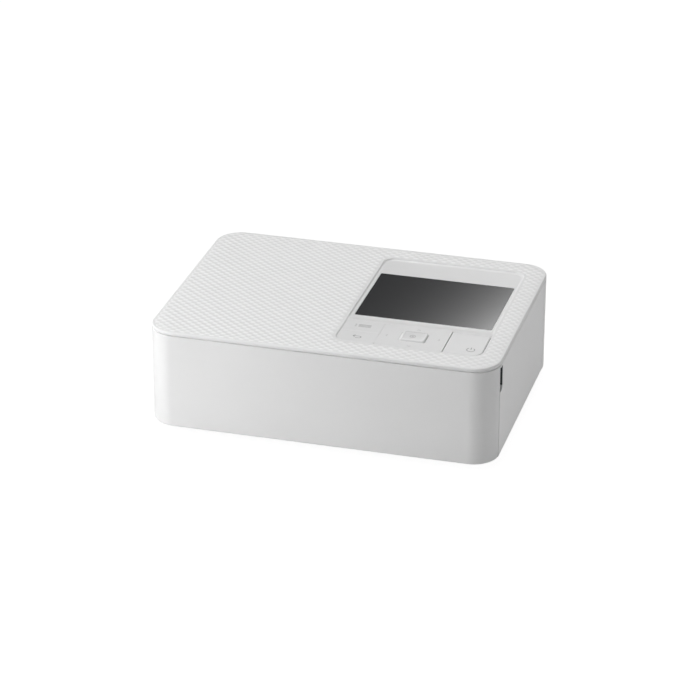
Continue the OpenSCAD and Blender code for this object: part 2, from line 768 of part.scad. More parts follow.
// Places of the shafts that run in bushes, as (Y, Z)
bushed = [
    [capstan_y, capstan_z], [capstan_y, pinch_z], [platen_y, platen_z], [pickup_y, pickup_z],
    [cam_y, cam_z]
];
spindles = [[takeup_y, spool_z], [supply_y, spool_z]];
module side_plate(x, foot_x) {
    y = [pickup_y - 5, rear_in_y - 0.7];
    difference() {
        union() {
            block(x, [y[0], rear_y - base_inset - base_wall_t - rest_gap], [floor_z, plate_top]);
            block(x, y, [base_wall_top + rest_gap, plate_top]);
            block(foot_x, [platen_y - 16, platen_y + 12], [floor_z, floor_z + plate_t]);
        }
        for (p = bushed) rod_x([x[0] - past, x[1] + past], p, hole_r);
        rod_x([x[0] - past, x[1] + past], [pivot_y, pivot_z], shaft_r);
        for (y = plate_screws_y())
            rod_z([floor_z - past, floor_z + plate_t + past], plate_screw_x(x), y, screw_r);
    }
}
function plate_screws_y() = [platen_y - 12, platen_y + 8];
function plate_screw_x(x) = x[0] < 0 ? x[1] + 4 : x[0] - 4;
module left_side_plate() {
    x = [plate_left_x, plate_left_x + plate_t];
    color(steel) difference() {
        side_plate(x, [x[0], x[1] + 8]);
        for (p = spindles) rod_x([x[0] - past, x[1] + past], p, hole_r);
    }
}
// The cassette slides out through the right plate; the eject lever has a slot there
module right_side_plate() {
    x = [plate_right_x - plate_t, plate_right_x];
    cut_x = [x[0] - past, x[1] + past];
    shelf_z = [lever_z - 1.6, lever_z - 0.1];
    color(steel) {
        difference() {
            side_plate(x, [x[0] - 8, x[1]]);
            block(cut_x, [takeup_y - housing_r - 1.5, supply_y + housing_r + 1],
                [paper_z + 0.05, spool_z + housing_r + 1.4]);
            block(cut_x, [pickup_y - 6, takeup_y - 10], [shelf_z[1], lever_z + lever_t + 0.8]);
        }
        block([lever_x - 3.5, x[0] + touch], about(lever_y, 3.5), shelf_z);
        rod_z([shelf_z[0], lever_z + lever_t + 0.8], lever_x, lever_y, front_pin_r);
    }
}
module cross_frame() {
    cut_z = [deck_z - past, deck_z + deck_t + past];
    color(steel) difference() {
        block([plate_left_x, plate_right_x], [takeup_y - 14, rear_in_y - 0.7], [deck_z, deck_z + deck_t]);
        for (x = [plate_left_x + 14, mech_x + 8])
            block([x, x + 40], [takeup_y + 2, platen_y + 6], cut_z);
        // The head's hubs and springs reach up into these
        for (x = arm_x) block(span(x, [-1, arm_t + 5]), about(pivot_y, 5), cut_z);
    }
}
module motor_bracket() {
    x = [bracket_x - plate_t, bracket_x];
    color(steel) difference() {
        union() {
            block(x, [motor_pos[0] - 14, ribbon_pos[0] + 9], [base_wall_top + 4, plate_top - 1]);
            block(x, [motor_pos[0] - 14, motor_pos[0] - 6], [floor_z, plate_top - 1]);
            block(x, [ribbon_pos[0] + 1, ribbon_pos[0] + 9], [floor_z, plate_top - 1]);
            block([x[0], x[1] + 6], [motor_pos[0] - 14, motor_pos[0] - 6], [floor_z, floor_z + plate_t]);
        }
        rod_x([x[0] - past, x[1] + past], motor_pos, 4);
        rod_x([x[0] - past, x[1] + past], ribbon_pos, 3);
        for (p = [reduction_pos, idler_pos]) rod_x([x[0] - past, x[1] + past], p, post_r);
    }
}
module gear_posts() {
    color(steel) for (p = [reduction_pos, idler_pos]) {
        rod_x([bracket_x - plate_t - 0.6, plane_b + gear_w + 0.3], p, post_r);
        rod_x([bracket_x - plate_t - 1.4, bracket_x - plate_t], p, post_r + 0.5);
    }
}
module rear_paper_guide() {
    x = [plate_left_x + plate_t, plate_right_x - plate_t];
    back = rear_in_y - 0.2;
    low = paper_z - slot_h / 2 - 1.5;
    color(inner_grey) {
        block(x, [platen_y + platen_r + 4, back], [low, low + 1.5]);
        block(x, [supply_y + housing_r + 2, back], span(paper_z + slot_h / 2, [0, 1.5]));
        for (s = [[x[0], mech_x - slot_w / 2], [mech_x + slot_w / 2, x[1]]])
            block(s, [supply_y + housing_r + 2, back], [low, paper_z + slot_h / 2 + 1.5]);
    }
}

// ---- Electronics ----

module main_board() {
    color(board_green) block(board_x, [post_y + 6, supply_y + 4], [board_z, port_z]);
}
module board_parts() {
    x = board_x[0];
    color("#2b2b2e") {
        block([x + 3, x + 14], [platen_y - 6, platen_y + 6], [port_z, port_z + 1.4]);
        block([x + 5, x + 12], [platen_y + 9, platen_y + 17], [port_z, port_z + 1.2]);
        for (y = [12, 15, 18]) block([x + 16.5, x + 18], [y - 4, y - 3], [port_z, port_z + 0.8]);
    }
}
module card_socket() {
    x = [-inner_x + 0.2, -inner_x + 0.2 + card_size[0]];
    color(steel) difference() {
        block([x[0], min(x[1], board_x[1] - 1)], about(card_y, card_size[1] / 2),
            [port_z, port_z + card_size[2]]);
        block([x[0] - past, x[1] - 4], about(card_y, card_size[1] / 2 - 1.6),
            span(port_z, [0.5, 2.6]));
    }
}
module usb_socket() {
    x = [-inner_x + 0.2, -inner_x + 0.2 + usb_size[0]];
    z = port_z + usb_size[2] / 2;
    color(steel) difference() {
        block(x, about(usb_y, usb_size[1] / 2), [port_z, port_z + usb_size[2]]);
        difference() {
            block([x[0] - past, x[1] - 1], about(usb_y, usb_size[1] / 2 - 0.35),
                about(z, usb_size[2] / 2 - 0.35));
            block([x[0] + 0.6, x[1]], about(usb_y, 3), about(z, 0.35));
        }
    }
}
module power_inlet() {
    y = [rear_in_y - 12, rear_in_y - 0.1];
    color(dark_grey) difference() {
        block(about(inlet_x, 4.5), y, about(inlet_z, 5.5));
        rod_y([y[0] + 3, y[1] + past], inlet_x, inlet_z, inlet_r);
    }
    color(brass_yellow) rod_y([y[0] + 2.5, y[1] - 1], inlet_x, inlet_z, 0.9);
}
module fan_frame() {
    y = [rear_in_y - 0.2 - fan_d, rear_in_y - 0.2];
    half = fan_w / 2;
    color(dark_grey) {
        difference() {
            block(about(fan_x, half), y, about(fan_z, half));
            rod_y([y[0] - past, y[1] + past], fan_x, fan_z, half - 1);
        }
        block(about(fan_x, 1), [y[1] - 1, y[1]], about(fan_z, half - 0.8));
        block(about(fan_x, half - 0.8), [y[1] - 1, y[1]], about(fan_z, 1));
        rod_y([y[0] + 1, y[1] - 0.5], fan_x, fan_z, 1);
    }
}
module fan_rotor() {
    y = [rear_in_y - fan_d + 0.4, rear_in_y - 1.7];
    color("#1d1e20") difference() {
        union() {
            rod_y(y, fan_x, fan_z, fan_w / 5);
            for (i = [0 : 6]) translate([fan_x, 0, fan_z]) rotate([0, i * 360 / 7, 0])
                translate([0, (y[0] + y[1]) / 2, 0]) rotate([0, 0, 32])
                    block([-0.5, 0.5], [-2, 2], [fan_w / 5 - 0.6, fan_w / 2 - 1.6]);
        }
        rod_y([y[0] - past, y[1] + past], fan_x, fan_z, 1 + bush_play);
    }
}

// ---- Motors and gears ----

module gear_at(x, p, teeth, turn, bore) {
    translate([x, p[0], p[1]]) rotate([90, 0, 90]) linear_extrude(gear_w) difference() {
        polygon(gear_outline(teeth, turn));
        circle(bore);
    }
}
reduction_turn = mesh_angle(capstan_pos, roller_gear_z, 0, reduction_pos, pinion_z);
idler_turn = mesh_angle(capstan_pos, roller_gear_z, 0, idler_pos, pinion_z);
module motor(p, r, length, shaft) {
    back = bracket_x - plate_t;
    rod_x([back - length, back], p, r);
    rod_x([back - length - 1.5, back - length], p, r * 0.4);
    rod_x([back, bracket_x + 1], p, shaft * 2);
}
module main_motor() {
    color(steel) motor(motor_pos, motor_r, motor_l, 1);
}
module motor_pinion() {
    color(brass_yellow) {
        gear_at(plane_c, motor_pos, pinion_z,
            mesh_angle(reduction_pos, reduction_z, 0, motor_pos, pinion_z), 0.5);
        rod_x([bracket_x + 1 + 0.2, plane_c + gear_w], motor_pos, 1);
    }
}
module ribbon_motor() {
    color(steel) motor(ribbon_pos, ribbon_motor_r, ribbon_motor_l, 1);
}
module ribbon_pinion() {
    color(brass_yellow) {
        gear_at(plane_a, ribbon_pos, pinion_z,
            mesh_angle(takeup_pos, ribbon_gear_z, 0, ribbon_pos, pinion_z), 0.5);
        rod_x([bracket_x + 1 + 0.2, plane_a + gear_w], ribbon_pos, 1);
    }
}
module reduction_gear() {
    color("white") {
        gear_at(plane_c, reduction_pos, reduction_z, 0, post_r + pin_play);
        gear_at(plane_b, reduction_pos, pinion_z, reduction_turn, post_r + pin_play);
        difference() {
            rod_x([plane_c + gear_w, plane_b], reduction_pos, 4);
            rod_x([plane_c, plane_b + gear_w], reduction_pos, post_r + pin_play);
        }
    }
}
module capstan_gear() {
    color("white") gear_at(plane_b, capstan_pos, roller_gear_z, 0, shaft_r);
}
module idler_gear() {
    color("white") gear_at(plane_b, idler_pos, pinion_z, idler_turn, post_r + pin_play);
}
module pickup_gear() {
    color("white") gear_at(plane_b, pickup_pos, roller_gear_z,
        mesh_angle(idler_pos, pinion_z, idler_turn, pickup_pos, roller_gear_z), shaft_r);
}

// ---- Rollers ----

shaft_end = plate_right_x + 1.6;
module capstan_roller() {
    color(steel) {
        rod_x([plane_b - 0.2, shaft_end], capstan_pos, shaft_r);
        rod_x([plate_left_x + 8, plate_right_x - 8], capstan_pos, capstan_r);
    }
}
module pickup_roller() {
    color(rubber_black) {
        rod_x([plane_b - 0.2, shaft_end], pickup_pos, shaft_r);
        for (x = [mech_x - 22, mech_x + 8]) rod_x([x, x + 14], pickup_pos, pickup_r);
    }
}
module pinch_roller() {
    color(rubber_black) {
        rod_x([plate_left_x - 1.6, shaft_end], [capstan_y, pinch_z], shaft_r);
        for (x = [mech_x - 50, mech_x - 17, mech_x + 16])
            rod_x([x, x + 30], [capstan_y, pinch_z], capstan_r);
    }
}
module platen_roller() {
    color(rubber_black) {
        rod_x([plate_left_x - 1.6, shaft_end], [platen_y, platen_z], shaft_r);
        rod_x([plate_left_x + 7, plate_right_x - 7], [platen_y, platen_z], platen_r);
    }
}
// Flanged bushes, pressed into the side plates
module bush(x, p) {
    difference() {
        union() {
            rod_x([x, x + plate_t], p, hole_r);
            rod_x(x < 0 ? [x + plate_t, x + plate_t + 0.8] : [x - 0.8, x], p, hole_r + 0.5);
        }
        rod_x([x - 2, x + plate_t + 2], p, shaft_r + bush_play);
    }
}
module roller_bushes() {
    color(brass_yellow) {
        for (x = plates_x, p = bushed) bush(x, p);
        for (p = spindles) bush(plates_x[0], p);
    }
}

// ---- Print head ----

module print_head() {
    front = platen_y - head_d / 2 - 1;
    back = platen_y + head_d / 2;
    color("#9a9da1") difference() {
        side_slab(head_x) polygon([
            [front + 2, head_rest_z + 1.6], [back - 3, head_rest_z + 1.6], [back, head_rest_z + 8],
            [back, arm_low - 3], [front, arm_low - 3], [front, head_rest_z + 8]
        ]);
        // Pockets between the ribs
        for (x = [head_x[0] + 18 : 24 : head_x[1] - 18])
            block([x, x + 16], [front + 3, back - 3], [arm_low - 9, arm_low]);
    }
}
module head_element() {
    color("#d8d4c8") block([head_x[0] + 1, head_x[1] - 1], span(platen_y, [-4, 2.5]),
        [head_rest_z, head_rest_z + 1.6]);
}
module head_arms() {
    hub = shaft_r + 1.5;
    color(steel) for (x = arm_x) difference() {
        union() {
            rod_x([x, x + arm_t], [pivot_y, pivot_z], hub);
            block([x, x + arm_t], [platen_y - head_d / 2 - 1, cam_y + 3], [arm_low, arm_low + 3.2]);
            block([x, x + arm_t], about(platen_y, head_d / 2), [arm_low - 3, arm_low + touch]);
        }
        rod_x([x - past, x + arm_t + past], [pivot_y, pivot_z], shaft_r + bush_play);
    }
}
module head_pivot_shaft() {
    color(steel) rod_x([plate_left_x - 1, plate_right_x + 1], [pivot_y, pivot_z], shaft_r);
}
module head_springs() {
    wire_r = 0.4;
    color(steel) for (x = arm_x, i = [0 : 3])
        translate([x + arm_t + 0.6 + wire_r + i * 2 * (wire_r + 0.04), pivot_y, pivot_z])
            rotate([0, 90, 0]) rotate_extrude() translate([shaft_r + wire_r + 0.1, 0]) circle(wire_r);
}
// A spiral that rises evenly while the shaft turns through cam_turn
function cam_outline() = concat(
    arc([0, 0], cam_r + cam_rise, 90 - cam_turn - 40, 90 - cam_turn, 4),
    [for (i = [1 : 12]) let (a = 90 - cam_turn + i * cam_turn / 12)
        (cam_r + cam_rise * (90 - a) / cam_turn) * [cos(a), sin(a)]],
    arc([0, 0], cam_r, 105, 270, 12)
);
module head_cam_shaft() {
    color(steel) {
        rod_x([plate_left_x - 1.5, shaft_end], [cam_y, cam_z], shaft_r);
        for (x = arm_x) translate([x - 0.5, cam_y, cam_z]) rotate([90, 0, 90])
            linear_extrude(arm_t + 1) polygon(cam_outline());
    }
}

// ---- Ribbon ----

module ribbon_cassette() {
    tube_x = [cassette_x[0] + end_t, cassette_x[1] - end_t];
    bar_z = paper_z + 1.4;
    bars_y = [takeup_y + 10, supply_y - 10];
    color("#4a4c50") {
        for (p = spindles) difference() {
            rod_x(tube_x, p, housing_r);
            rod_x([tube_x[0] - past, tube_x[1] + past], p, housing_r - cassette_t);
            block([tube_x[0] - past, tube_x[1] + past],
                p[0] < platen_y ? span(p[0], [1, 8]) : span(p[0], [-8, -0.5]),
                [paper_z - past, spool_z - 4]);
        }
        for (x = [[cassette_x[0], tube_x[0]], [tube_x[1], cassette_x[1]]]) difference() {
            union() {
                for (p = spindles) rod_x(x, p, housing_r);
                block(x, [takeup_y, supply_y], span(spool_z, [-6, 8]));
                for (y = bars_y) block(x, about(y, 1.2), [bar_z - 1.1, spool_z]);
            }
            for (p = spindles) rod_x([x[0] - past, x[1] + past], p, journal_r + pin_play);
        }
        for (y = bars_y) rod_x([tube_x[0] - touch, tube_x[1] + touch], [y, bar_z], 1.1);
        block([lug_x0, lug_x0 + 4], [lug_y - 1.5, takeup_y - 8.5], lug_z);
    }
}
module spool(p, roll_r) {
    socket_r = 2.35;
    rod_r = 4;
    end_x = [cassette_x[0] + end_t + 0.3, cassette_x[1] - end_t - 0.3];
    difference() {
        union() {
            rod_x([cassette_x[0] - 0.4, cassette_x[1] + 0.4], p, journal_r);
            rod_x(end_x, p, rod_r);
            rod_x([head_x[0] - 4, head_x[1]], p, roll_r);
        }
        rod_x([cassette_x[0] - past, cassette_x[0] + 3.6], p, socket_r);
    }
}
module supply_spool() {
    color("#c9b23a") spool(spindles[1], supply_roll_r);
}
module takeup_spool() {
    color("#6d4f6f") spool(spindles[0], takeup_roll_r);
}
module ribbon_film() {
    low_edge = [
        [takeup_y, spool_z - takeup_roll_r - 0.4], [takeup_y + 9, film_z],
        [supply_y - 9, film_z], [supply_y, spool_z - supply_roll_r - 0.4]
    ];
    color("#7d6a2e") side_slab([head_x[0] - 3, head_x[1] - 1])
        polygon(concat(low_edge, [for (i = [3 : -1 : 0]) low_edge[i] + [0, film_t]]));
}
module spindle(p, left_x) {
    rod_x([left_x, plate_left_x + 0.8 + 0.6], p, shaft_r);
    translate([plate_left_x + 1.4, p[0], p[1]]) rotate([0, 90, 0])
        cylinder(r = shaft_r, h = cassette_x[0] + 2.8 - plate_left_x - 1.4, $fn = 6);
}
module takeup_spindle() {
    color("white") {
        spindle(spindles[0], plane_a - 0.3);
        gear_at(plane_a, spindles[0], ribbon_gear_z, 0, shaft_r - 0.2);
    }
}
module supply_spindle() {
    color("white") {
        spindle(spindles[1], plate_left_x - 3);
        rod_x([plate_left_x - 3, plate_left_x - 1.2], spindles[1], 6);
    }
}
module eject_lever() {
    z = [lever_z, lever_z + lever_t];
    handle_x = side_x - 5.5;
    color("#d8793a") difference() {
        union() {
            rod_z(z, lever_x, lever_y, hub_r + 0.6);
            block([lever_x - 1.2, lever_x + 1.2], [lever_y, lug_y], z);
            rod_z(z, lever_x, lug_y, lever_tip_r);
            block([lever_x, handle_x], span(lever_y, [-1.6, 1.2]), z);
            block([handle_x - 3, handle_x], span(lever_y, [-1.6, 1.2]), [z[0] - 2, z[1] + 4]);
        }
        rod_z([z[0] - past, z[1] + past], lever_x, lever_y, front_pin_r + pin_play);
    }
}

// ---- Fasteners and cables ----

module case_screws() {
    color(steel) {
        for (p = post_places) {
            rod_z([foot_h + 0.1, foot_h + 1.4], p[0], p[1], screw_r * 2);
            rod_z([foot_h + 1, base_wall_top + 8], p[0], p[1], screw_r);
        }
        for (x = [[plate_left_x, plate_left_x + plate_t], [plate_right_x - plate_t, plate_right_x]],
            y = plate_screws_y())
        {
            rod_z([floor_z, floor_z + plate_t], plate_screw_x(x), y, screw_r);
            rod_z([floor_z + plate_t, floor_z + plate_t + 1], plate_screw_x(x), y, screw_r * 1.8);
        }
    }
}
module flat_cables() {
    x = bracket_x - 3;
    t = 0.3;
    color("#d9d2bd") {
        block([x, island_x - 38.7], span(supply_y, [-10, 0]), span(deck_z + deck_t, [0.3, 0.3 + t]));
        block([x, x + t], span(supply_y, [-10, 0]), [port_z, deck_z + deck_t + 0.3 + t]);
    }
}

base_tray();
rubber_feet();
side_shell();
top_cover();
control_panel();
display_window();
display_module();
key_board();
front_frame();
cassette_tunnel();
left_side_plate();
right_side_plate();
cross_frame();
motor_bracket();
gear_posts();
rear_paper_guide();
main_board();
board_parts();
card_socket();
usb_socket();
power_inlet();
fan_frame();
fan_rotor();
main_motor();
motor_pinion();
ribbon_motor();
ribbon_pinion();
reduction_gear();
capstan_gear();
capstan_roller();
idler_gear();
pickup_gear();
pickup_roller();
pinch_roller();
platen_roller();
roller_bushes();
print_head();
head_element();
head_arms();
head_pivot_shaft();
head_springs();
head_cam_shaft();
ribbon_cassette();
supply_spool();
takeup_spool();
ribbon_film();
takeup_spindle();
supply_spindle();
eject_lever();
front_cover();
front_hinge_pins();
ribbon_door();
ribbon_door_pins();
menu_key();
back_key();
nav_pad();
ok_key();
power_key();
case_screws();
flat_cables();
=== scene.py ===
# %% [markdown]
# # A compact photo printer, dressed for a picture
#
# The printer's solids come packed from its CAD source, in metres: X to the right, Y to the
# back, Z up. This file gives them their final edges, surfaces and finishes, and adds what is
# too fine for the source, such as the low relief of the top and the key symbols.

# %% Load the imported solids
import json
import math

import bmesh
import bpy
from mathutils import Matrix, Vector


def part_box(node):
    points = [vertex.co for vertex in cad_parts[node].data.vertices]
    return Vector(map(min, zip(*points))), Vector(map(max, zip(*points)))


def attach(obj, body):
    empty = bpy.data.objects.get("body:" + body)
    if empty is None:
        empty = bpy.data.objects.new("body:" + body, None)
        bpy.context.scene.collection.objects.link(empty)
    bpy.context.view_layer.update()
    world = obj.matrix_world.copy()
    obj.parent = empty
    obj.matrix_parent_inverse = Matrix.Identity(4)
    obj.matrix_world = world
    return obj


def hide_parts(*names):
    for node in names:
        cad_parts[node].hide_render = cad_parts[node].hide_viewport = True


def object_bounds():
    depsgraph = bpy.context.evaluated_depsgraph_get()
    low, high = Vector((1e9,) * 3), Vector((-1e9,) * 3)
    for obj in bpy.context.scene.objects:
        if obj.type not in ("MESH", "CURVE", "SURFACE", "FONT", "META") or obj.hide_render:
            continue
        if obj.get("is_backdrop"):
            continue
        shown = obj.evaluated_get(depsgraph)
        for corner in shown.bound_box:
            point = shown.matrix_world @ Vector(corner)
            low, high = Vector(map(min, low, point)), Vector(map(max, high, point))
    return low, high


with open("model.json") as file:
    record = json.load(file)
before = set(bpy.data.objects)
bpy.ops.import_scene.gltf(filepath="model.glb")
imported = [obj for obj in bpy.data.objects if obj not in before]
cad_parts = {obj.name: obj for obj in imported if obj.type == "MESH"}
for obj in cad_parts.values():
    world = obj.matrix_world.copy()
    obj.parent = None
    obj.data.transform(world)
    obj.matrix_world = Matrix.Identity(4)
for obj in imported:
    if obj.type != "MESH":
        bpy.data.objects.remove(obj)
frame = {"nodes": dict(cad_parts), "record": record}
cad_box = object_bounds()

MM = 0.001
nodes = frame["nodes"]
record = frame["record"]
slot_of = {part["node"]: part["material_slot"] for part in record["subparts"]}
body_of = {node: body for body, members in record["behaviour"]["bodies"].items()
           for node in members}
scene = bpy.context.scene
scene.view_settings.view_transform = "Standard"

# %% [markdown]
# The camera is set from an azimuth, an elevation and a distance, as on a tripod. A long lens
# from a metre and a half keeps the box's edges nearly parallel, as in a catalogue picture. The
# matrix is built from three unit vectors: right, up, and the one that points back at the lens.

# %% Camera
CAMERA_PLACE = Vector((0.35921, -1.31555, 0.68021))
AZIMUTH, ELEVATION, ROLL = math.radians(15.331), math.radians(25.6), math.radians(0.168)
LENS_PIXELS, IMAGE_WIDTH, SENSOR_MM = 2889.9, 700, 36


def add_object(name, data):
    """An object in the scene, for a mesh, a lamp or a camera."""
    thing = bpy.data.objects.new(name, data)
    scene.collection.objects.link(thing)
    return thing


forward = Vector((-math.sin(AZIMUTH) * math.cos(ELEVATION),
                  math.cos(AZIMUTH) * math.cos(ELEVATION), -math.sin(ELEVATION)))
level_right = forward.cross(Vector((0, 0, 1))).normalized()
level_up = level_right.cross(forward)
right = level_right * math.cos(ROLL) + level_up * math.sin(ROLL)
up = right.cross(forward)
camera_data = bpy.data.cameras.new("camera")
camera_data.sensor_fit = "HORIZONTAL"
camera_data.sensor_width = SENSOR_MM
camera_data.lens = SENSOR_MM * LENS_PIXELS / IMAGE_WIDTH
camera_data.clip_end = 20
scene.camera = add_object("camera", camera_data)
turn = Matrix((right, up, -forward)).transposed().to_4x4()
scene.camera.matrix_world = Matrix.Translation(CAMERA_PLACE) @ turn
print("lens", round(camera_data.lens, 1), "mm")

# %% [markdown]
# Colours are written as hex values, as a paint chart gives them, and turned to linear light in
# one place. One function adds a node, with its settings and its links, to a shader tree or a
# geometry tree, so a tree reads as a list of what it is made of. Patterns are made of noise on
# Object coordinates, which lie still on a piece, and each has its size in millimetres.

# %% Colour and node helpers
def linear(hex_value):
    """The linear red, green, blue and alpha of an sRGB hex colour."""
    parts = [int(hex_value[i:i + 2], 16) / 255 for i in (1, 3, 5)]
    return [p / 12.92 if p <= 0.04045 else ((p + 0.055) / 1.055) ** 2.4 for p in parts] + [1]


def add_node(tree, kind, *values, **named):
    """Adds a node. Values fill its inputs in order. A name in small letters is a setting, and
    one with a capital is an input. An input takes a value, a node or a node's output."""
    node = tree.nodes.new(kind)
    inputs = dict(enumerate(values))
    for name, value in named.items():
        if name[0].islower():
            setattr(node, name, value)
        else:
            inputs[name.replace("_", " ")] = value
    for key, value in inputs.items():
        source = value.outputs[0] if isinstance(value, bpy.types.Node) else value
        if isinstance(source, bpy.types.NodeSocket):
            tree.links.new(source, node.inputs[key])
        else:
            node.inputs[key].default_value = source
    return node


def emptied(owner):
    """The node tree of a material or a world, without nodes."""
    owner.use_nodes = True
    owner.node_tree.nodes.clear()
    return owner.node_tree


def new_material(name, **shader_inputs):
    """A material with one Principled shader; returns the material, its tree and the shader."""
    material = bpy.data.materials.new(name)
    tree = emptied(material)
    shader = add_node(tree, "ShaderNodeBsdfPrincipled", **shader_inputs)
    add_node(tree, "ShaderNodeOutputMaterial", Surface=shader)
    return material, tree, shader


def grain(tree, size_mm, detail=3, stretch=(1, 1, 1)):
    """Noise whose blotches are about size_mm across, from 0 to 1."""
    place = add_node(tree, "ShaderNodeTexCoord").outputs["Object"]
    place = add_node(tree, "ShaderNodeMapping", Vector=place, Scale=stretch)
    return add_node(tree, "ShaderNodeTexNoise", Vector=place, Scale=1 / (size_mm * MM),
                    Detail=detail).outputs["Fac"]


NOISE_MIDDLE = (0.3, 0.7)                # noise seldom leaves this range


def vary(tree, shader, tint=None, gloss=None, relief=None):
    """Rules a shader by patterns. Tint is (pattern, low hex, high hex), gloss is (pattern, low
    roughness, high roughness), and relief is (pattern, depth in mm, strength)."""
    if tint:
        mix = add_node(tree, "ShaderNodeMix", tint[0], data_type="RGBA")
        for socket, hex_value in zip(mix.inputs[6:8], tint[1:]):
            socket.default_value = linear(hex_value)
        tree.links.new(mix.outputs[2], shader.inputs["Base Color"])
    if gloss:
        ranged = add_node(tree, "ShaderNodeMapRange", gloss[0], *NOISE_MIDDLE, *gloss[1:])
        tree.links.new(ranged.outputs[0], shader.inputs["Roughness"])
    if relief:
        bump = add_node(tree, "ShaderNodeBump", Height=relief[0], Distance=relief[1] * MM,
                        Strength=relief[2])
        tree.links.new(bump.outputs[0], shader.inputs["Normal"])


materials = {}
print("hex #808080 is", round(linear("#808080")[0], 3), "in linear light")

# %% [markdown]
# The outer shells are moulded ABS with a fine spark-eroded skin. It is a bright white with a
# satin sheen: highlights are wide and soft. The erosion pits are about 0.1 mm across, too fine
# to show here, so the pattern is drawn at 0.35 mm and very shallow. The inner plastics are
# made the same way, each with its own colour, roughness and pits.

# %% Moulded plastics
def moulded_plastic(name, low_hex, high_hex, roughness, pit_mm, depth_mm):
    material, tree, shader = new_material(name, IOR=1.53, Roughness=roughness)
    vary(tree, shader, tint=(grain(tree, 22, 2), low_hex, high_hex),
         gloss=(grain(tree, 4, 4), roughness - 0.03, roughness + 0.03),
         relief=(grain(tree, pit_mm, 4), depth_mm, 0.4))
    return material


# Slot: name, two colours, roughness, width and depth of a pit in mm
PLASTICS = {
    "shell_white": ("white_satin_abs", "#ebebeb", "#eeeeee", 0.42, 0.35, 0.008),
    "key_white": ("smooth_white_abs", "#e7e7e7", "#eaeaea", 0.34, 0.3, 0.004),
    "frame_grey": ("grey_glass_filled_abs", "#85878a", "#8d8f92", 0.55, 0.5, 0.03),
    "base_grey": ("charcoal_abs", "#37393c", "#3e4043", 0.6, 0.4, 0.03),
    "cassette_grey": ("dark_polystyrene", "#46484c", "#4e5054", 0.4, 0.4, 0.01),
    "chip_black": ("black_epoxy", "#1f2022", "#28292c", 0.5, 0.25, 0.02),
    "gear_white": ("white_acetal", "#e4e2da", "#ebe9e2", 0.38, 0.4, 0.006),
    "lever_orange": ("orange_acetal", "#d5712f", "#de7d3b", 0.36, 0.4, 0.006)}
for slot_name, values in PLASTICS.items():
    materials[slot_name] = moulded_plastic(*values)
print("moulded plastics:", len(materials))

# %% [markdown]
# The display window is a hard-coated acrylic sheet, printed black from behind. It is a polished
# dielectric: nearly all that it shows is what it reflects, so its base is almost black and a
# clear coat gives a sharp reflection. A faint haze varies the gloss as wiped plastic has it.

# %% Black acrylic window
material, tree, shader = new_material("black_acrylic", IOR=1.49, Roughness=0.05, Coat_Weight=0.5,
                                      Coat_Roughness=0.02, Coat_IOR=1.5)
vary(tree, shader, tint=(grain(tree, 15, 2), "#101114", "#15161a"),
     gloss=(grain(tree, 6, 3), 0.045, 0.07))
materials["window_black"] = material
print("window:", material.name)

# %% [markdown]
# Metals keep the shader's own index of refraction. Rolled, zinc-plated sheet has long, faint
# rolling lines, so its noise is stretched thirty to one. Turned brass has rings that are too
# fine to see, which leave a soft grain. The head is die-cast and bead-blasted aluminium.

# %% Metals
def worked_metal(name, low_hex, high_hex, roughness, grain_mm, stretch, depth_mm):
    material, tree, shader = new_material(name, Metallic=1.0, Roughness=roughness)
    lines = grain(tree, grain_mm, 4, stretch)
    vary(tree, shader, tint=(lines, low_hex, high_hex),
         gloss=(grain(tree, 8, 3), roughness - 0.06, roughness + 0.06),
         relief=(lines, depth_mm, 0.35))
    return material


# Slot: name, two colours, roughness, grain in mm, its stretch, depth in mm
METALS = {
    "sheet_steel": ("zinc_plated_steel", "#b3b6b9", "#c6c8ca", 0.34, 0.7, (1, 0.03, 1), 0.006),
    "brass": ("turned_brass", "#b8984e", "#cfae60", 0.28, 0.5, (0.1, 1, 1), 0.006),
    "head_aluminium": ("blasted_aluminium", "#9da0a4", "#adb0b3", 0.46, 0.4, (1, 1, 1), 0.02)}
for slot_name, values in METALS.items():
    materials[slot_name] = worked_metal(*values)
print("metals added:", len(METALS))

# %% [markdown]
# Rubber feet and rollers are matt and nearly black, with a ground surface. The circuit boards
# have a green solder mask over copper tracks: a brick pattern of 5 mm by 1.4 mm cells stands
# for the tracks, slightly lighter where copper lies under the mask. The head's heater strip is
# glazed ceramic, smooth as a tile.

# %% Rubber, boards and ceramic
material, tree, shader = new_material("ground_rubber", IOR=1.52)
vary(tree, shader, tint=(grain(tree, 3, 3), "#222222", "#2c2c2c"),
     gloss=(grain(tree, 1.5, 3), 0.72, 0.86), relief=(grain(tree, 0.3, 4), 0.04, 0.6))
materials["rubber"] = material

material, tree, shader = new_material("solder_mask_board", IOR=1.55, Roughness=0.35,
                                      Coat_Weight=0.3, Coat_Roughness=0.2)
place = add_node(tree, "ShaderNodeTexCoord").outputs["Object"]
tracks = add_node(tree, "ShaderNodeTexBrick", Vector=place, Scale=1 / (9 * MM), Mortar_Size=0.03,
                  Brick_Width=0.6, Row_Height=0.16, offset=0.5).outputs["Fac"]
vary(tree, shader, tint=(tracks, "#2a6b40", "#4b8a55"), relief=(tracks, 0.03, 1.0))
materials["board_green"] = material

material, tree, shader = new_material("glazed_ceramic", IOR=1.6, Roughness=0.2)
vary(tree, shader, tint=(grain(tree, 5, 3), "#d2cdbf", "#dcd8cc"))
materials["head_ceramic"] = material
print("rubber, boards and ceramic added")

# %% [markdown]
# Dye film on its roll is a polished polyester skin, and the edges of its windings are fine
# rings, so the noise is stretched along the roll. A flat cable is a row of strands under one
# jacket: a wave pattern gives its ribs. Each solid then gets the finish of its slot, which
# shows until a dressed piece takes the solid's place.

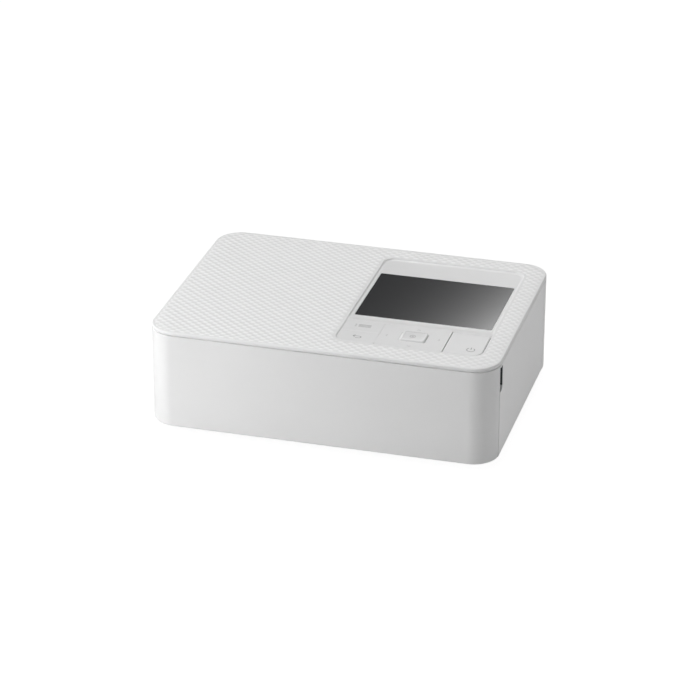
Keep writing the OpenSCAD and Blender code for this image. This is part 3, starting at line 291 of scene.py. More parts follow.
# %% Film, cable and the first coat
def wound_film(name, low_hex, high_hex):
    material, tree, shader = new_material(name, IOR=1.64, Roughness=0.18)
    windings = grain(tree, 0.9, 3, (0.02, 1, 1))
    vary(tree, shader, tint=(windings, low_hex, high_hex), relief=(windings, 0.01, 0.5))
    return material


materials["ribbon_yellow"] = wound_film("yellow_dye_film", "#b8991f", "#cbad34")
materials["ribbon_used"] = wound_film("spent_dye_film", "#5b3a5e", "#71517a")

material, tree, shader = new_material("flat_cable_jacket", IOR=1.5, Roughness=0.4)
place = add_node(tree, "ShaderNodeTexCoord").outputs["Object"]
strands = add_node(tree, "ShaderNodeTexWave", Vector=place, Scale=1 / (20 * MM),
                   bands_direction="Y").outputs["Fac"]
vary(tree, shader, tint=(strands, "#c9c1ab", "#e0d9c6"), relief=(strands, 0.1, 0.6))
materials["cable_cream"] = material
for node_name, node_object in nodes.items():
    node_object.data.materials.clear()
    node_object.data.materials.append(materials[slot_of[node_name]])
print("slots with a material:", len(materials), "of", len(record["materials"]))

# %% [markdown]
# No moulded or bent edge is truly sharp, and it is the small rounding that catches the light.
# A solid from the CAD source arrives as loose triangles. So a copy is merged, its flat faces
# are joined, its edges are bevelled, and its normals are weighted by face area, which keeps
# the flats flat. The finished mesh replaces the solid and rides on the same body.

# %% Finish and edges
def finish(mesh, name, body, slot_name, *replaced, material=None):
    """Makes the piece's object, gives it its finish, and ties it to its body."""
    piece = add_object(name, mesh)
    mesh.materials.clear()
    mesh.materials.append(material or materials[slot_name])
    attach(piece, body)
    if replaced:
        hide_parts(*replaced)
    return piece


def plain_mesh(holder):
    """The holder's mesh after its modifiers; the holder goes."""
    depsgraph = bpy.context.evaluated_depsgraph_get()
    mesh = bpy.data.meshes.new_from_object(holder.evaluated_get(depsgraph))
    holder.modifiers.clear()
    bpy.data.objects.remove(holder)
    return mesh


def edge_round(mesh, radius_mm, segments=2, sharp_degrees=34):
    """Rounds the mesh's sharp edges and smooths its shading."""
    holder = add_object("holder", mesh)
    for kind, settings in (
            ("BEVEL", {"width": radius_mm * MM, "segments": segments, "limit_method": "ANGLE",
                       "angle_limit": math.radians(sharp_degrees), "use_clamp_overlap": True,
                       "miter_outer": "MITER_ARC", "loop_slide": False}),
            ("WEIGHTED_NORMAL", {"keep_sharp": True, "weight": 60})):
        modifier = holder.modifiers.new(kind, kind)
        for name, value in settings.items():
            setattr(modifier, name, value)
    return plain_mesh(holder)


print("an edge is rounded from", edge_round.__defaults__[1], "degrees up")

# %% [markdown]
# A large flat with many openings is hard to cut into triangles, and a bad cut lays thin
# slivers over each other. So the area that lies double is measured. Where it is more than a
# square millimetre, the piece is made again with its flats split into small ones. The rear
# wall is first cut along two lines, which run between its grille, paper slot and power inlet.

# %% Clean copies of the solids
MERGE_REACH, FLAT_ANGLE = 0.002 * MM, math.radians(0.6)
CUT_REACH, MOST_OVERLAP_MM2 = 0.001 * MM, 1
LIP_REACH, LIP_ANGLE = 0.02 * MM, math.radians(30)
CUT_LINES = {"side_shell": ((2, 25), (0, -55))}      # axis, place in mm


def merged_copy(node, split=False):
    """The node's mesh as one clean shell, its flat faces joined or cut into good triangles."""
    work = bmesh.new()
    work.from_mesh(nodes[node].data)
    bmesh.ops.remove_doubles(work, verts=work.verts, dist=MERGE_REACH)
    bmesh.ops.dissolve_limit(work, angle_limit=FLAT_ANGLE, verts=work.verts, edges=work.edges)
    for axis, place_mm in CUT_LINES.get(node, ()) if split else ():
        normal = Vector([float(axis == other) for other in range(3)])
        bmesh.ops.bisect_plane(work, geom=work.verts[:] + work.edges[:] + work.faces[:],
                               dist=CUT_REACH, plane_co=normal * place_mm * MM,
                               plane_no=normal)
    if split:
        bmesh.ops.triangulate(work, faces=[face for face in work.faces if len(face.verts) > 4])
    mesh = bpy.data.meshes.new(node + "_copy")
    work.to_mesh(mesh)
    work.free()
    mesh.shade_smooth()
    return mesh


def lip_rounded(mesh, level, radius_mm, segments=3):
    """Rounds only the sharp outer edges that lie at one height."""
    work = bmesh.new()
    work.from_mesh(mesh)
    lip = [edge for edge in work.edges if len(edge.link_faces) == 2
           and edge.calc_face_angle_signed(0) > LIP_ANGLE
           and all(abs(vert.co.z - level) < LIP_REACH for vert in edge.verts)]
    bmesh.ops.bevel(work, geom=lip, offset=radius_mm * MM, offset_type="OFFSET", profile=0.5,
                    segments=segments, affect="EDGES", clamp_overlap=True)
    work.to_mesh(mesh)
    work.free()


def overlap(mesh):
    """The area in which a face's triangles lie over each other, in square millimetres."""
    mesh.calc_loop_triangles()
    return (sum(triangle.area for triangle in mesh.loop_triangles)
            - sum(face.area for face in mesh.polygons)) / MM ** 2


print("pieces with their own cut lines:", list(CUT_LINES))

# %% [markdown]
# The visible shells have a rounding of 0.1 to 0.3 mm on all edges. The outer edges along the
# seams are rounder, because a tool is polished there, so those at a piece's lowest and highest
# level are rounded first, by their own radius.

# %% Dress the shells
def dress(node, radius_mm, segments=2, name=None, lips_mm=()):
    """Replaces a node by its copy with rounded edges; its lowest and highest may be rounder."""
    for split in (False, True):
        mesh = merged_copy(node, split)
        for corner, lip_mm in zip(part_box(node), lips_mm):
            if lip_mm:
                lip_rounded(mesh, corner.z, lip_mm)
        mesh = edge_round(mesh, radius_mm, segments)
        if overlap(mesh) < MOST_OVERLAP_MM2:
            break
    if split:
        print(node, "has split flats,", round(overlap(mesh), 2), "mm2 left over")
    return finish(mesh, name or node + "_moulded", body_of[node], slot_of[node], node)


SHELLS = {"top_cover": 0.1, "front_cover": 0.15, "ribbon_door": 0.15, "side_shell": 0.15,
          "control_panel": 0.1, "base_tray": 0.3, "front_frame": 0.25, "cassette_tunnel": 0.2}
LIPS = {"front_cover": (0.5, 0.7), "ribbon_door": (0.5, 0.7), "side_shell": (0.5, 0.7),
        "control_panel": (0, 0.3)}
for node, radius in SHELLS.items():
    piece = dress(node, radius, lips_mm=LIPS.get(node, ()))
    print(piece.name, len(piece.data.polygons), "faces")

# %% [markdown]
# The keys are separate caps in one field, with a hair-thin gap round each. Their edges are
# softer than those of the sheet parts, because a finger runs over them. OK stands proud of the
# pad and gets its own shape further on. The display window is a cut sheet with a broken edge.

# %% Key caps and window
KEYS = ("menu_key", "back_key", "nav_pad", "power_key")
for node in KEYS:
    dress(node, 0.1, name=node + "_cap")
dress("display_window", 0.12, name="display_window_sheet")

# %% [markdown]
# The flat of the top carries a low relief: rows of soft dots, each row half a step off the
# last, 5.2 mm apart across and 4.25 mm from row to pair. The pattern is a product of two
# cosines, which a few Math nodes give, and the same nodes serve twice: in the material they
# paint the crowns lighter and the valleys darker, as painted highlight and shade, and in the
# geometry they lift them. A rounded rectangle's distance, also made of Math nodes, says how far
# a point lies from the cover's border and from the panel.

# %% Pattern and outline of the relief
MATH = "ShaderNodeMath"
STEP_X, STEP_Y, GRID_PER_STEP = 5.2 * MM, 4.25 * MM, 8
LATTICE_SHIFT = (1.1 * MM, 3.1 * MM)
FLAT_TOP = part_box("top_cover")[1].z
BODY_HALF = Vector((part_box("top_cover")[1].x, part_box("top_cover")[1].y))
PANEL_LOW, PANEL_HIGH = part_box("control_panel")
FLANGE = 2 * MM                          # the panel's hidden flange is wider than the panel
panel_middle = (PANEL_LOW + PANEL_HIGH) / 2
PANEL_HALF = Vector(((PANEL_HIGH.x - PANEL_LOW.x) / 2 - FLANGE,
                     (PANEL_HIGH.y - PANEL_LOW.y) / 2 - FLANGE))
BODY_CORNER, PANEL_CORNER = 13.7 * MM, 6 * MM
# Painted shade and highlight: the dots' valleys are painted darker and their crowns lighter
VALLEY_PAINTED_SHADE, CROWN_PAINTED_LIGHT = "#ebebeb", "#fafafa"
DOT_FOOT, DOT_FLAT = 0.1, 0.92           # heights of the plain wave where a dot starts and ends


def outline_distance(tree, x, y, middle, half, corner):
    """Distance from a rounded rectangle's outline; less than 0 inside it."""
    sides = []
    for place, centre, reach in ((x, middle[0], half[0]), (y, middle[1], half[1])):
        offset = add_node(tree, MATH, place, centre, operation="SUBTRACT")
        offset = add_node(tree, MATH, offset, operation="ABSOLUTE")
        sides.append(add_node(tree, MATH, offset, reach - corner, operation="SUBTRACT"))
    outside = [add_node(tree, MATH, side, 0.0, operation="MAXIMUM") for side in sides]
    squares = [add_node(tree, MATH, side, side, operation="MULTIPLY") for side in outside]
    length = add_node(tree, MATH, *squares, operation="ADD")
    length = add_node(tree, MATH, length, operation="SQRT")
    inside = add_node(tree, MATH, *sides, operation="MAXIMUM")
    inside = add_node(tree, MATH, inside, 0.0, operation="MINIMUM")
    length = add_node(tree, MATH, length, inside, operation="ADD")
    return add_node(tree, MATH, length, corner, operation="SUBTRACT")


def lattice(tree, x, y):
    """The dots' height pattern, from 0 in the valleys to 1 on the crowns."""
    waves = []
    for place, shift, step in zip((x, y), LATTICE_SHIFT, (STEP_X, STEP_Y)):
        place = add_node(tree, MATH, place, shift, operation="SUBTRACT")
        place = add_node(tree, MATH, place, 2 * math.pi / step, operation="MULTIPLY")
        waves.append(add_node(tree, MATH, place, operation="COSINE"))
    dots = add_node(tree, MATH, *waves, operation="MULTIPLY")
    dots = add_node(tree, MATH, dots, 0.5, 0.5, operation="MULTIPLY_ADD")
    return add_node(tree, "ShaderNodeMapRange", dots, DOT_FOOT, DOT_FLAT, 0.0, 1.0,
                    interpolation_type="SMOOTHSTEP")


# The lattice paints the crowns lighter and the valleys darker: painted highlight and shade
material, tree, shader = new_material("etched_white_abs", IOR=1.53, Roughness=0.45)
place = add_node(tree, "ShaderNodeTexCoord").outputs["Object"]
axes = add_node(tree, "ShaderNodeSeparateXYZ", place).outputs
vary(tree, shader, tint=(lattice(tree, axes[0], axes[1]), VALLEY_PAINTED_SHADE, CROWN_PAINTED_LIGHT),
     relief=(grain(tree, 0.35, 4), 0.008, 0.4))
materials["etched"] = material
print("panel half", [round(value / MM, 2) for value in PANEL_HALF], "mm")

# %% [markdown]
# Geometry Nodes make what repeats or follows a rule. A tree is made once, with named inputs
# for its sizes. Its modifier's inputs are set by the sockets' identifiers, and the result is
# taken as a plain mesh. Every tree ends in Realize Instances and Set Material, because an
# export drops instances.

# %% Geometry Nodes helpers
def new_tree(name, inputs, takes_points=True):
    """A Geometry Nodes tree with named sizes; returns it and its inputs' outputs."""
    tree = bpy.data.node_groups.new(name, "GeometryNodeTree")
    tree.interface.new_socket("Geometry", in_out="OUTPUT", socket_type="NodeSocketGeometry")
    if takes_points:
        tree.interface.new_socket("Points", in_out="INPUT", socket_type="NodeSocketGeometry")
    for label, value in inputs.items():
        kind = "NodeSocketVector" if isinstance(value, tuple) else "NodeSocketFloat"
        tree.interface.new_socket(label, in_out="INPUT", socket_type=kind).default_value = value
    return tree, add_node(tree, "NodeGroupInput").outputs


def end_tree(tree, geometry, material):
    real = add_node(tree, "GeometryNodeRealizeInstances", geometry)
    painted = add_node(tree, "GeometryNodeSetMaterial", Geometry=real, Material=material)
    add_node(tree, "NodeGroupOutput", painted)


def grown(tree, name, settings, points=()):
    """Runs a tree on a mesh of points; settings are by input name."""
    base = bpy.data.meshes.new(name)
    base.from_pydata([tuple(point) for point in points], [], [])
    holder = add_object(name, base)
    modifier = holder.modifiers.new("nodes", "NODES")
    modifier.node_group = tree
    for socket in tree.interface.items_tree:
        if getattr(socket, "in_out", "") == "INPUT" and socket.name in settings:
            modifier[socket.identifier] = settings[socket.name]
    return plain_mesh(holder)


def open_edges(mesh):
    """How many edges don't have just two faces: 0 on a closed mesh."""
    work = bmesh.new()
    work.from_mesh(mesh)
    count = sum(1 for edge in work.edges if len(edge.link_faces) != 2)
    work.free()
    return count


print("node groups so far:", len(bpy.data.node_groups))

# %% [markdown]
# The relief starts as a grid over the whole top. Its faces outside the outline and over the
# panel are deleted, the rest is extruded into a thin skin, and only the upper side is lifted by
# the pattern. Towards every border the skin dips below the cover's flat top, so it ends in
# nothing instead of in a step. Its underside, which nobody sees, is filled with large faces.

# %% Relief of the top
RELIEF = {"Height": 0.36, "Border": 1.5, "Sink": 0.08}       # mm
SKIN_THICK, SKIN_MERGE = 0.4 * MM, 0.001 * MM
CUT_SHARE, RAMP_SHARES = 0.5, (0.75, 1.6)                    # of the border


def relief_tree():
    """A skin with dots, which is cut off near the border and dips before it."""
    tree, given = new_tree("top_relief", RELIEF, takes_points=False)
    height, border, sink = [add_node(tree, MATH, given[name], MM, operation="MULTIPLY")
                            for name in RELIEF]
    counts = [round(2 * half / step * GRID_PER_STEP)
              for half, step in zip(BODY_HALF, (STEP_X, STEP_Y))]
    grid = add_node(tree, "GeometryNodeMeshGrid", Size_X=counts[0] * STEP_X / GRID_PER_STEP,
                    Size_Y=counts[1] * STEP_Y / GRID_PER_STEP, Vertices_X=counts[0] + 1,
                    Vertices_Y=counts[1] + 1)
    axes = add_node(tree, "ShaderNodeSeparateXYZ",
                    add_node(tree, "GeometryNodeInputPosition")).outputs
    body = outline_distance(tree, axes[0], axes[1], (0, 0), BODY_HALF, BODY_CORNER)
    panel = outline_distance(tree, axes[0], axes[1], panel_middle, PANEL_HALF, PANEL_CORNER)
    outside_panel = add_node(tree, MATH, panel, -1.0, operation="MULTIPLY")
    inward = add_node(tree, MATH, body, outside_panel, operation="MAXIMUM")
    inward = add_node(tree, MATH, inward, -1.0, operation="MULTIPLY")
    cut_at, ramp_start, ramp_end = [add_node(tree, MATH, border, share, operation="MULTIPLY")
                                    for share in (CUT_SHARE, *RAMP_SHARES)]
    spare = add_node(tree, MATH, inward, cut_at, operation="LESS_THAN")
    cut = add_node(tree, "GeometryNodeDeleteGeometry", Geometry=grid, Selection=spare,
                   domain="FACE")
    low = add_node(tree, "GeometryNodeSetPosition", Geometry=cut,
                   Offset=(0, 0, FLAT_TOP - SKIN_THICK))
    raised = add_node(tree, "GeometryNodeExtrudeMesh", Mesh=low, Offset=(0, 0, 1),
                      Offset_Scale=SKIN_THICK, Individual=False, mode="FACES")
    ramp = add_node(tree, "ShaderNodeMapRange", inward, ramp_start, ramp_end, 0.0, 1.0,
                    interpolation_type="SMOOTHSTEP")
    lift = add_node(tree, MATH, lattice(tree, axes[0], axes[1]), height, operation="MULTIPLY")
    lift = add_node(tree, MATH, lift, ramp, operation="MULTIPLY")
    dip = add_node(tree, MATH, 1.0, ramp, operation="SUBTRACT")
    dip = add_node(tree, MATH, dip, sink, operation="MULTIPLY")
    rise = add_node(tree, MATH, lift, dip, operation="SUBTRACT")
    top = add_node(tree, "GeometryNodeSetPosition", Geometry=raised,
                   Selection=raised.outputs["Top"],
                   Offset=add_node(tree, "ShaderNodeCombineXYZ", Z=rise))
    joined = add_node(tree, "GeometryNodeJoinGeometry")
    for side in (top, add_node(tree, "GeometryNodeFlipFaces", Mesh=low)):
        tree.links.new(side.outputs[0], joined.inputs[0])
    closed = add_node(tree, "GeometryNodeMergeByDistance", Geometry=joined, Distance=SKIN_MERGE)
    end_tree(tree, closed, materials["etched"])
    return tree


def plain_underside(mesh, level):
    """Swaps the small faces that look down below a level for large ones."""
    work = bmesh.new()
    work.from_mesh(mesh)
    faces = [face for face in work.faces if face.normal.z < -0.9
             and face.calc_center_median().z < level]
    bmesh.ops.delete(work, geom=faces, context="FACES")
    rim = [edge for edge in work.edges if len(edge.link_faces) == 1]
    bmesh.ops.triangle_fill(work, edges=rim, use_beauty=True)
    bmesh.ops.recalc_face_normals(work, faces=work.faces)
    work.to_mesh(mesh)
    work.free()


relief = grown(relief_tree(), "relief", RELIEF)
plain_underside(relief, FLAT_TOP - 0.75 * SKIN_THICK)
relief.shade_smooth()
print("relief:", len(relief.polygons), "faces,", open_edges(relief), "open edges")
finish(relief, "top_relief_skin", "chassis", "shell_white", material=materials["etched"])


# %% [markdown]
# A closed outline that is stacked at several heights makes a solid: each loop has the same
# number of points, neighbours are joined by faces, and the ends are capped or, in a ring, the
# last loop joins the first. Seals and key crowns are made that way, since their section is
# known and no tool has to be tuned.

# %% Stacked outlines
CORNER_STEPS = 12


def rounded_loop(middle, half, corner, z, per_corner=8):
    """Points of a rounded rectangle, anticlockwise seen from above."""
    points = []
    for quarter, (sx, sy) in enumerate(((1, 1), (-1, 1), (-1, -1), (1, -1))):
        for step in range(per_corner + 1):
            angle = math.pi / 2 * (quarter + step / per_corner)
            points.append((middle[0] + sx * (half[0] - corner) + corner * math.cos(angle),
                           middle[1] + sy * (half[1] - corner) + corner * math.sin(angle), z))
    return points


def inset_loop(middle, half, corner, inset, z):
    """A rounded rectangle that lies inside another, at the same distance all round."""
    return rounded_loop(middle, half - Vector((inset, inset)), corner - inset, z, CORNER_STEPS)


def stacked(work, loops, ring=False):
    """Adds a closed solid made of loops to the bmesh."""
    rows = [[work.verts.new(point) for point in loop] for loop in loops]
    pairs = list(zip(rows, rows[1:])) + ([(rows[-1], rows[0])] if ring else [])
    for low, high in pairs:
        for i in range(len(low)):
            j = (i + 1) % len(low)
            work.faces.new((low[i], low[j], high[j], high[i]))
    if not ring:
        work.faces.new(rows[0][::-1])
        work.faces.new(rows[-1])


def solid_mesh(name, make):
    """A mesh from a function that fills a bmesh; its normals face out."""
    work = bmesh.new()
    make(work)
    bmesh.ops.recalc_face_normals(work, faces=work.faces)
    mesh = bpy.data.meshes.new(name)
    work.to_mesh(mesh)
    work.free()
    return mesh


print("a stacked loop has", len(rounded_loop((0, 0), (1, 1), 0.2, 0)), "points")

# %% [markdown]
# Where two mouldings meet, the gap is a few tenths of a millimetre, and a real gap is closed
# further in by a lap of the wall. So the lines that look soft get a strip of the same plastic
# just below the surface, and only the line beside the power key stays open and dark. The
# first strip is a ring behind the seam under the top cover's rim.

# %% Lap behind the seam
SEAM_INSETS = (0.8 * MM, 1.2 * MM)
SURFACE_LAP, PANEL_GAP, KEY_CLEARANCE, KEY_LAP_DEEP = 0.01 * MM, 0.12 * MM, 0.03 * MM, 0.6 * MM
shell_top, rim_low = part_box("front_cover")[1].z, FLAT_TOP - 1.75 * MM


def seam_lap(work):
    """A ring behind the seam between the shells and the top cover's rim."""
    (outer, inner), low, high = SEAM_INSETS, shell_top + 0.02 * MM, rim_low + 0.15 * MM
    stacked(work, [inset_loop((0, 0), BODY_HALF, BODY_CORNER, inset, z)
                   for inset, z in ((outer, high), (outer, low), (inner, low), (inner, high))],
            ring=True)


finish(solid_mesh("seam_lap", seam_lap), "seam_lap", "chassis", "shell_white")
print("shell top", round(shell_top / MM, 2), "rim", round(rim_low / MM, 2))

# %% [markdown]
# The control panel fills an opening of the cover, and its hidden flange lies under the cover's
# edge. The lap is a ring in the gap between them. It could be one level all round, but the
# gap has to stay open beside the power key, so there the ring lies low. In front it ends just
# below the keys, and behind them a little under the cover's top.

# %% Lap round the panel
def panel_lap(work):
    """A ring in the panel's gap; beside the power key it lies low, and the gap stays open."""
    top, low = FLAT_TOP - 0.16 * MM, FLAT_TOP - 0.9 * MM
    key_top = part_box("menu_key")[1].z - SURFACE_LAP
    open_x, open_y = panel_middle.x + PANEL_HALF.x - PANEL_CORNER, panel_middle.y - PANEL_HALF.y
    loops = []
    for inset, level in ((0, top), (0, low), (PANEL_GAP, low), (PANEL_GAP, top)):
        loop = inset_loop(panel_middle, PANEL_HALF, PANEL_CORNER, inset, level)
        if level == top:
            loop = [(x, y, low + 0.05 * MM if x > open_x and open_y + 1 * MM < y < 0
                     else key_top if y < 0 else z) for x, y, z in loop]
        loops.append(loop)
    stacked(work, loops, ring=True)


finish(solid_mesh("panel_lap", panel_lap), "panel_lap", "chassis", "shell_white")
print("lap round the panel:", open_edges(bpy.data.objects["panel_lap"].data), "open edges")

# %% [markdown]
# The gaps between the keys look soft as well. Each of them but the power key's gets a narrow
# box of the keys' own plastic, which ends just below the caps and touches none of them.

# %% Laps between the keys
def key_laps(work):
    """Strips between the keys, except beside the power key."""
    menu, back, pad, ok = [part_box(key) for key in ("menu_key", "back_key", "nav_pad", "ok_key")]
    gap = 0.2 * MM
    spans = (
        (menu[1].x, pad[0].x, back[0].y + 1 * MM, menu[1].y),
        (menu[0].x, menu[1].x, back[1].y, menu[0].y),
        (menu[0].x, pad[1].x, menu[1].y, menu[1].y + gap),
        (ok[0].x - gap, ok[0].x, ok[0].y, ok[1].y),
        (ok[0].x, ok[1].x, ok[1].y, ok[1].y + gap),
        (ok[0].x, ok[1].x, ok[0].y - gap, ok[0].y))
    top = pad[1].z - SURFACE_LAP
    for x0, x1, y0, y1 in spans:
        half = ((x1 - x0) / 2 - KEY_CLEARANCE, (y1 - y0) / 2 - KEY_CLEARANCE)
        centre = ((x0 + x1) / 2, (y0 + y1) / 2)
        stacked(work, [rounded_loop(centre, half, 0.02 * MM, z, 2)
                       for z in (top - KEY_LAP_DEEP, top)])


finish(solid_mesh("key_laps", key_laps), "key_laps", "chassis", "key_white")
print("laps between keys:", open_edges(bpy.data.objects["key_laps"].data), "open edges")

# %% [markdown]
# Beside the power key a black bar lies in the gap, as painted shade of the gap's depth. It
# follows the panel's corner: at each point of the path a small section is set, and the rows
# are joined. The finger notch of the ribbon door gets plates of charcoal plastic, behind it and
# on its rear wall, as painted shade, so that it reads as deep.

# %% Painted shade in the panel gap and in the notch
GAP_SHADE_SKIP = 5                            # steps of the corner that stay without the painted shade
NOTCH_FLOOR, NOTCH_DEEP = 39.3 * MM, 6 * MM


def rows_joined(work, rows):
    """Joins equal sections, set along a path, into a closed bar."""
    rows = [[work.verts.new(point) for point in row] for row in rows]
    for one, two in zip(rows, rows[1:]):
        for i in range(len(one)):
            j = (i + 1) % len(one)
            work.faces.new((one[i], two[i], two[j], one[j]))
    work.faces.new(rows[0])
    work.faces.new(rows[-1][::-1])


def painted_gap_shade(work):
    """A black bar of painted shade in the gap, from the panel's front right corner back along the
    power key.
    """
    top, low, back_y = FLAT_TOP - 0.06 * MM, FLAT_TOP - 0.8 * MM, -29.5 * MM
    corner_start = 3 * (CORNER_STEPS + 1) + GAP_SHADE_SKIP
    paths = []
    for inset in (0.0, PANEL_GAP + 0.08 * MM):
        path = inset_loop(panel_middle, PANEL_HALF, PANEL_CORNER, inset, top)[corner_start:]
        paths.append(path + [(path[-1][0], back_y, top)])
    rows_joined(work, [[outer, (*outer[:2], low), (*inner[:2], low), inner]
                       for outer, inner in zip(*paths)])


# Black rubber bar in the gap beside the power key: painted shade
finish(solid_mesh("painted_gap_shade", painted_gap_shade), "painted_gap_shade", "chassis", "rubber")


def painted_notch_shade(work):
    """Dark plates of painted shade: one behind the notch, and one on the notch's rear wall."""
    low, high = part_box("ribbon_door")
    y0, y1, z0, z1 = low.y + 0.1 * MM, low.y + NOTCH_DEEP, NOTCH_FLOOR, high.z - 0.6 * MM
    middle_z, half_z, inner_x = (z0 + z1) / 2, (z1 - z0) / 2, high.x - 2 * MM
    plate = rounded_loop(((y0 + y1) / 2, middle_z), ((y1 - y0) / 2, half_z), 1.2 * MM, 0, 4)
    stacked(work, [[(inner_x + x * MM, y, z) for y, z, _ in plate]
                   for x in (-0.55, -0.45, 0.03)])
    wall = rounded_loop((high.x - 1.4 * MM, middle_z + 0.7 * MM),
                        (1.2 * MM, half_z - 1.4 * MM), 0.5 * MM, 0, 4)
    stacked(work, [[(x, low.y + y * MM, z) for x, z, _ in wall] for y in (4.72, 4.85)])


# Charcoal plates in the finger notch: painted shade of the notch's depth
finish(solid_mesh("painted_notch_shade", painted_notch_shade), "painted_notch_shade", "side_door", "base_grey")
print("seal and lining added")

# %% [markdown]
# The screen area lies 0.9 mm lower than the keys, and its walls run down in a soft cove, as a
# steel tool leaves them. The cove has the same section all along its path, only lower where
# the slope between keys and screen comes up. So it is swept: at every point of the path the
# section is scaled to the depth that is there, and the rows are joined.

# %% Cove round the screen area
SCREEN_DROP, RAMP_RUN, COVE_STEPS, COVE_WIDTH = 0.9 * MM, 5 * MM, 5, 1.7
COVE_ROOT, COVE_BACK = 0.12 * MM, 0.03 * MM          # how far it goes into floor and wall
panel_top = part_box("menu_key")[1].z
ramp_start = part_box("menu_key")[1].y + 0.5 * MM


def drop_at(y):
    """How deep the screen area lies at a distance from the keys."""
    t = min(max((y - ramp_start) / RAMP_RUN, 0), 1)
    return SCREEN_DROP * t * t * (3 - 2 * t)


def cove_path():
    """Points of the panel's outline behind the keys, each with its outward direction."""
    path = []
    x, y = PANEL_HALF.x, panel_middle.y + PANEL_HALF.y - PANEL_CORNER
    sides = [ramp_start + (0.06 + 0.94 * i / CORNER_STEPS) * RAMP_RUN
             for i in range(CORNER_STEPS + 1)]
    path += [((panel_middle.x + x, side), (1, 0)) for side in sides]
    for quarter, sx in ((0, 1), (1, -1)):
        for i in range(CORNER_STEPS + 1):
            angle = math.pi / 2 * (quarter + i / CORNER_STEPS)
            out = (math.cos(angle), math.sin(angle))
            path.append(((panel_middle.x + sx * (x - PANEL_CORNER) + PANEL_CORNER * out[0],
                          y + PANEL_CORNER * out[1]), out))
    path += [((panel_middle.x - x, side), (-1, 0)) for side in sides[::-1]]
    return path


def cove(work):
    """The swept bar; COVE_WIDTH is how wide it is for each depth."""
    rows = []
    for (x, y), out in cove_path():
        depth = max(drop_at(y), 0.02 * MM)
        floor_z = panel_top - drop_at(y)
        section = []
        for i in range(COVE_STEPS + 1):
            angle = math.pi / 2 * i / COVE_STEPS
            section.append((COVE_WIDTH * depth * (1 - math.cos(angle)),
                            panel_top - depth * math.sin(angle)))
        section += [(COVE_WIDTH * depth, floor_z - COVE_ROOT), (-COVE_BACK, floor_z - COVE_ROOT),
                    (-COVE_BACK, panel_top)]
        rows.append([(x - out[0] * inward, y - out[1] * inward, z) for inward, z in section])
    rows_joined(work, rows)


cove_mesh = solid_mesh("screen_cove", cove)
cove_mesh.shade_smooth()
cove_mesh.set_sharp_from_angle(angle=math.radians(50))
finish(cove_mesh, "screen_cove", "chassis", "shell_white")
print("cove:", len(cove_mesh.polygons), "faces,", open_edges(cove_mesh), "open edges")

# %% [markdown]
# OK is a raised pillow that a thumb finds without looking: its sides slope over more than a
# millimetre, so the left one catches the light and the right one falls into shade. The cap is
# lowered, and a crown of stacked outlines gives it that slope.

# %% Crown of the OK key
ok_low, ok_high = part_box("ok_key")
ok_middle = (ok_low + ok_high) / 2
ok_half = Vector((ok_high.x - ok_low.x, ok_high.y - ok_low.y)) / 2
pad_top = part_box("nav_pad")[1].z
CAP_CUT = 0.45 * MM                      # how far below the pad the source's cap ends
# Insets from the left and from the other sides, and heights above the pad, in mm
CROWN_PROFILE = ((0, 0, -0.5), (0, 0, -0.06), (0.1, 0.05, 0.03), (1.3, 0.25, 0.76),
                 (1.6, 0.6, 0.86), (2.2, 1.2, 0.88))


def ok_cap(work):
    """The source's cap, cut low, with the crown on it."""
    work.from_mesh(merged_copy("ok_key"))
    for vert in work.verts:
        vert.co.z = min(vert.co.z, pad_top - CAP_CUT)
    loops = []
    for left_in, inset, rise in CROWN_PROFILE:
        centre = (ok_middle.x + (left_in - inset) / 2 * MM, ok_middle.y)
        half = (ok_half.x - (left_in + inset) / 2 * MM, ok_half.y - inset * MM)
        loops.append(rounded_loop(centre, half, max(1 - inset * 0.3, 0.3) * MM,
                                  pad_top + rise * MM))
    stacked(work, loops)


crown = solid_mesh("ok_cap", ok_cap)
crown.shade_smooth()
crown.set_sharp_from_angle(angle=math.radians(60))
finish(crown, "ok_key_cap", "ok_button", "key_white", "ok_key",
       material=moulded_plastic("polished_white_abs", "#e7e7e7", "#eaeaea", 0.2, 0.3, 0.002))
ok_top = pad_top + CROWN_PROFILE[-1][-1] * MM
print("the crown stands", round((ok_top - pad_top) / MM, 2), "mm above the pad")

# %% [markdown]
# The symbols are pad-printed: ink pressed on by a soft pad, a few hundredths of a millimetre
# thick. They are plain signs: lines of a list, a return arrow, a ring for choosing, four
# arrowheads in a paler ink and the power sign. Each is a thin closed solid on its key, and
# moves with it.

# %% Ink and strokes
INK_THICK, INK_SUNK = 0.03 * MM, 0.02 * MM


def printed_ink(name, low_hex, high_hex):
    """Matt ink, a little uneven in tone and gloss."""
    material, tree, shader = new_material(name, IOR=1.5)
    vary(tree, shader, tint=(grain(tree, 1.2, 3), low_hex, high_hex),
         gloss=(grain(tree, 1.5, 2), 0.5, 0.6))
    return material


ink = printed_ink("pad_printed_ink", "#a0a0a0", "#aaaaaa")
pale_ink = printed_ink("pale_printed_ink", "#c2c2c2", "#cbcbcb")


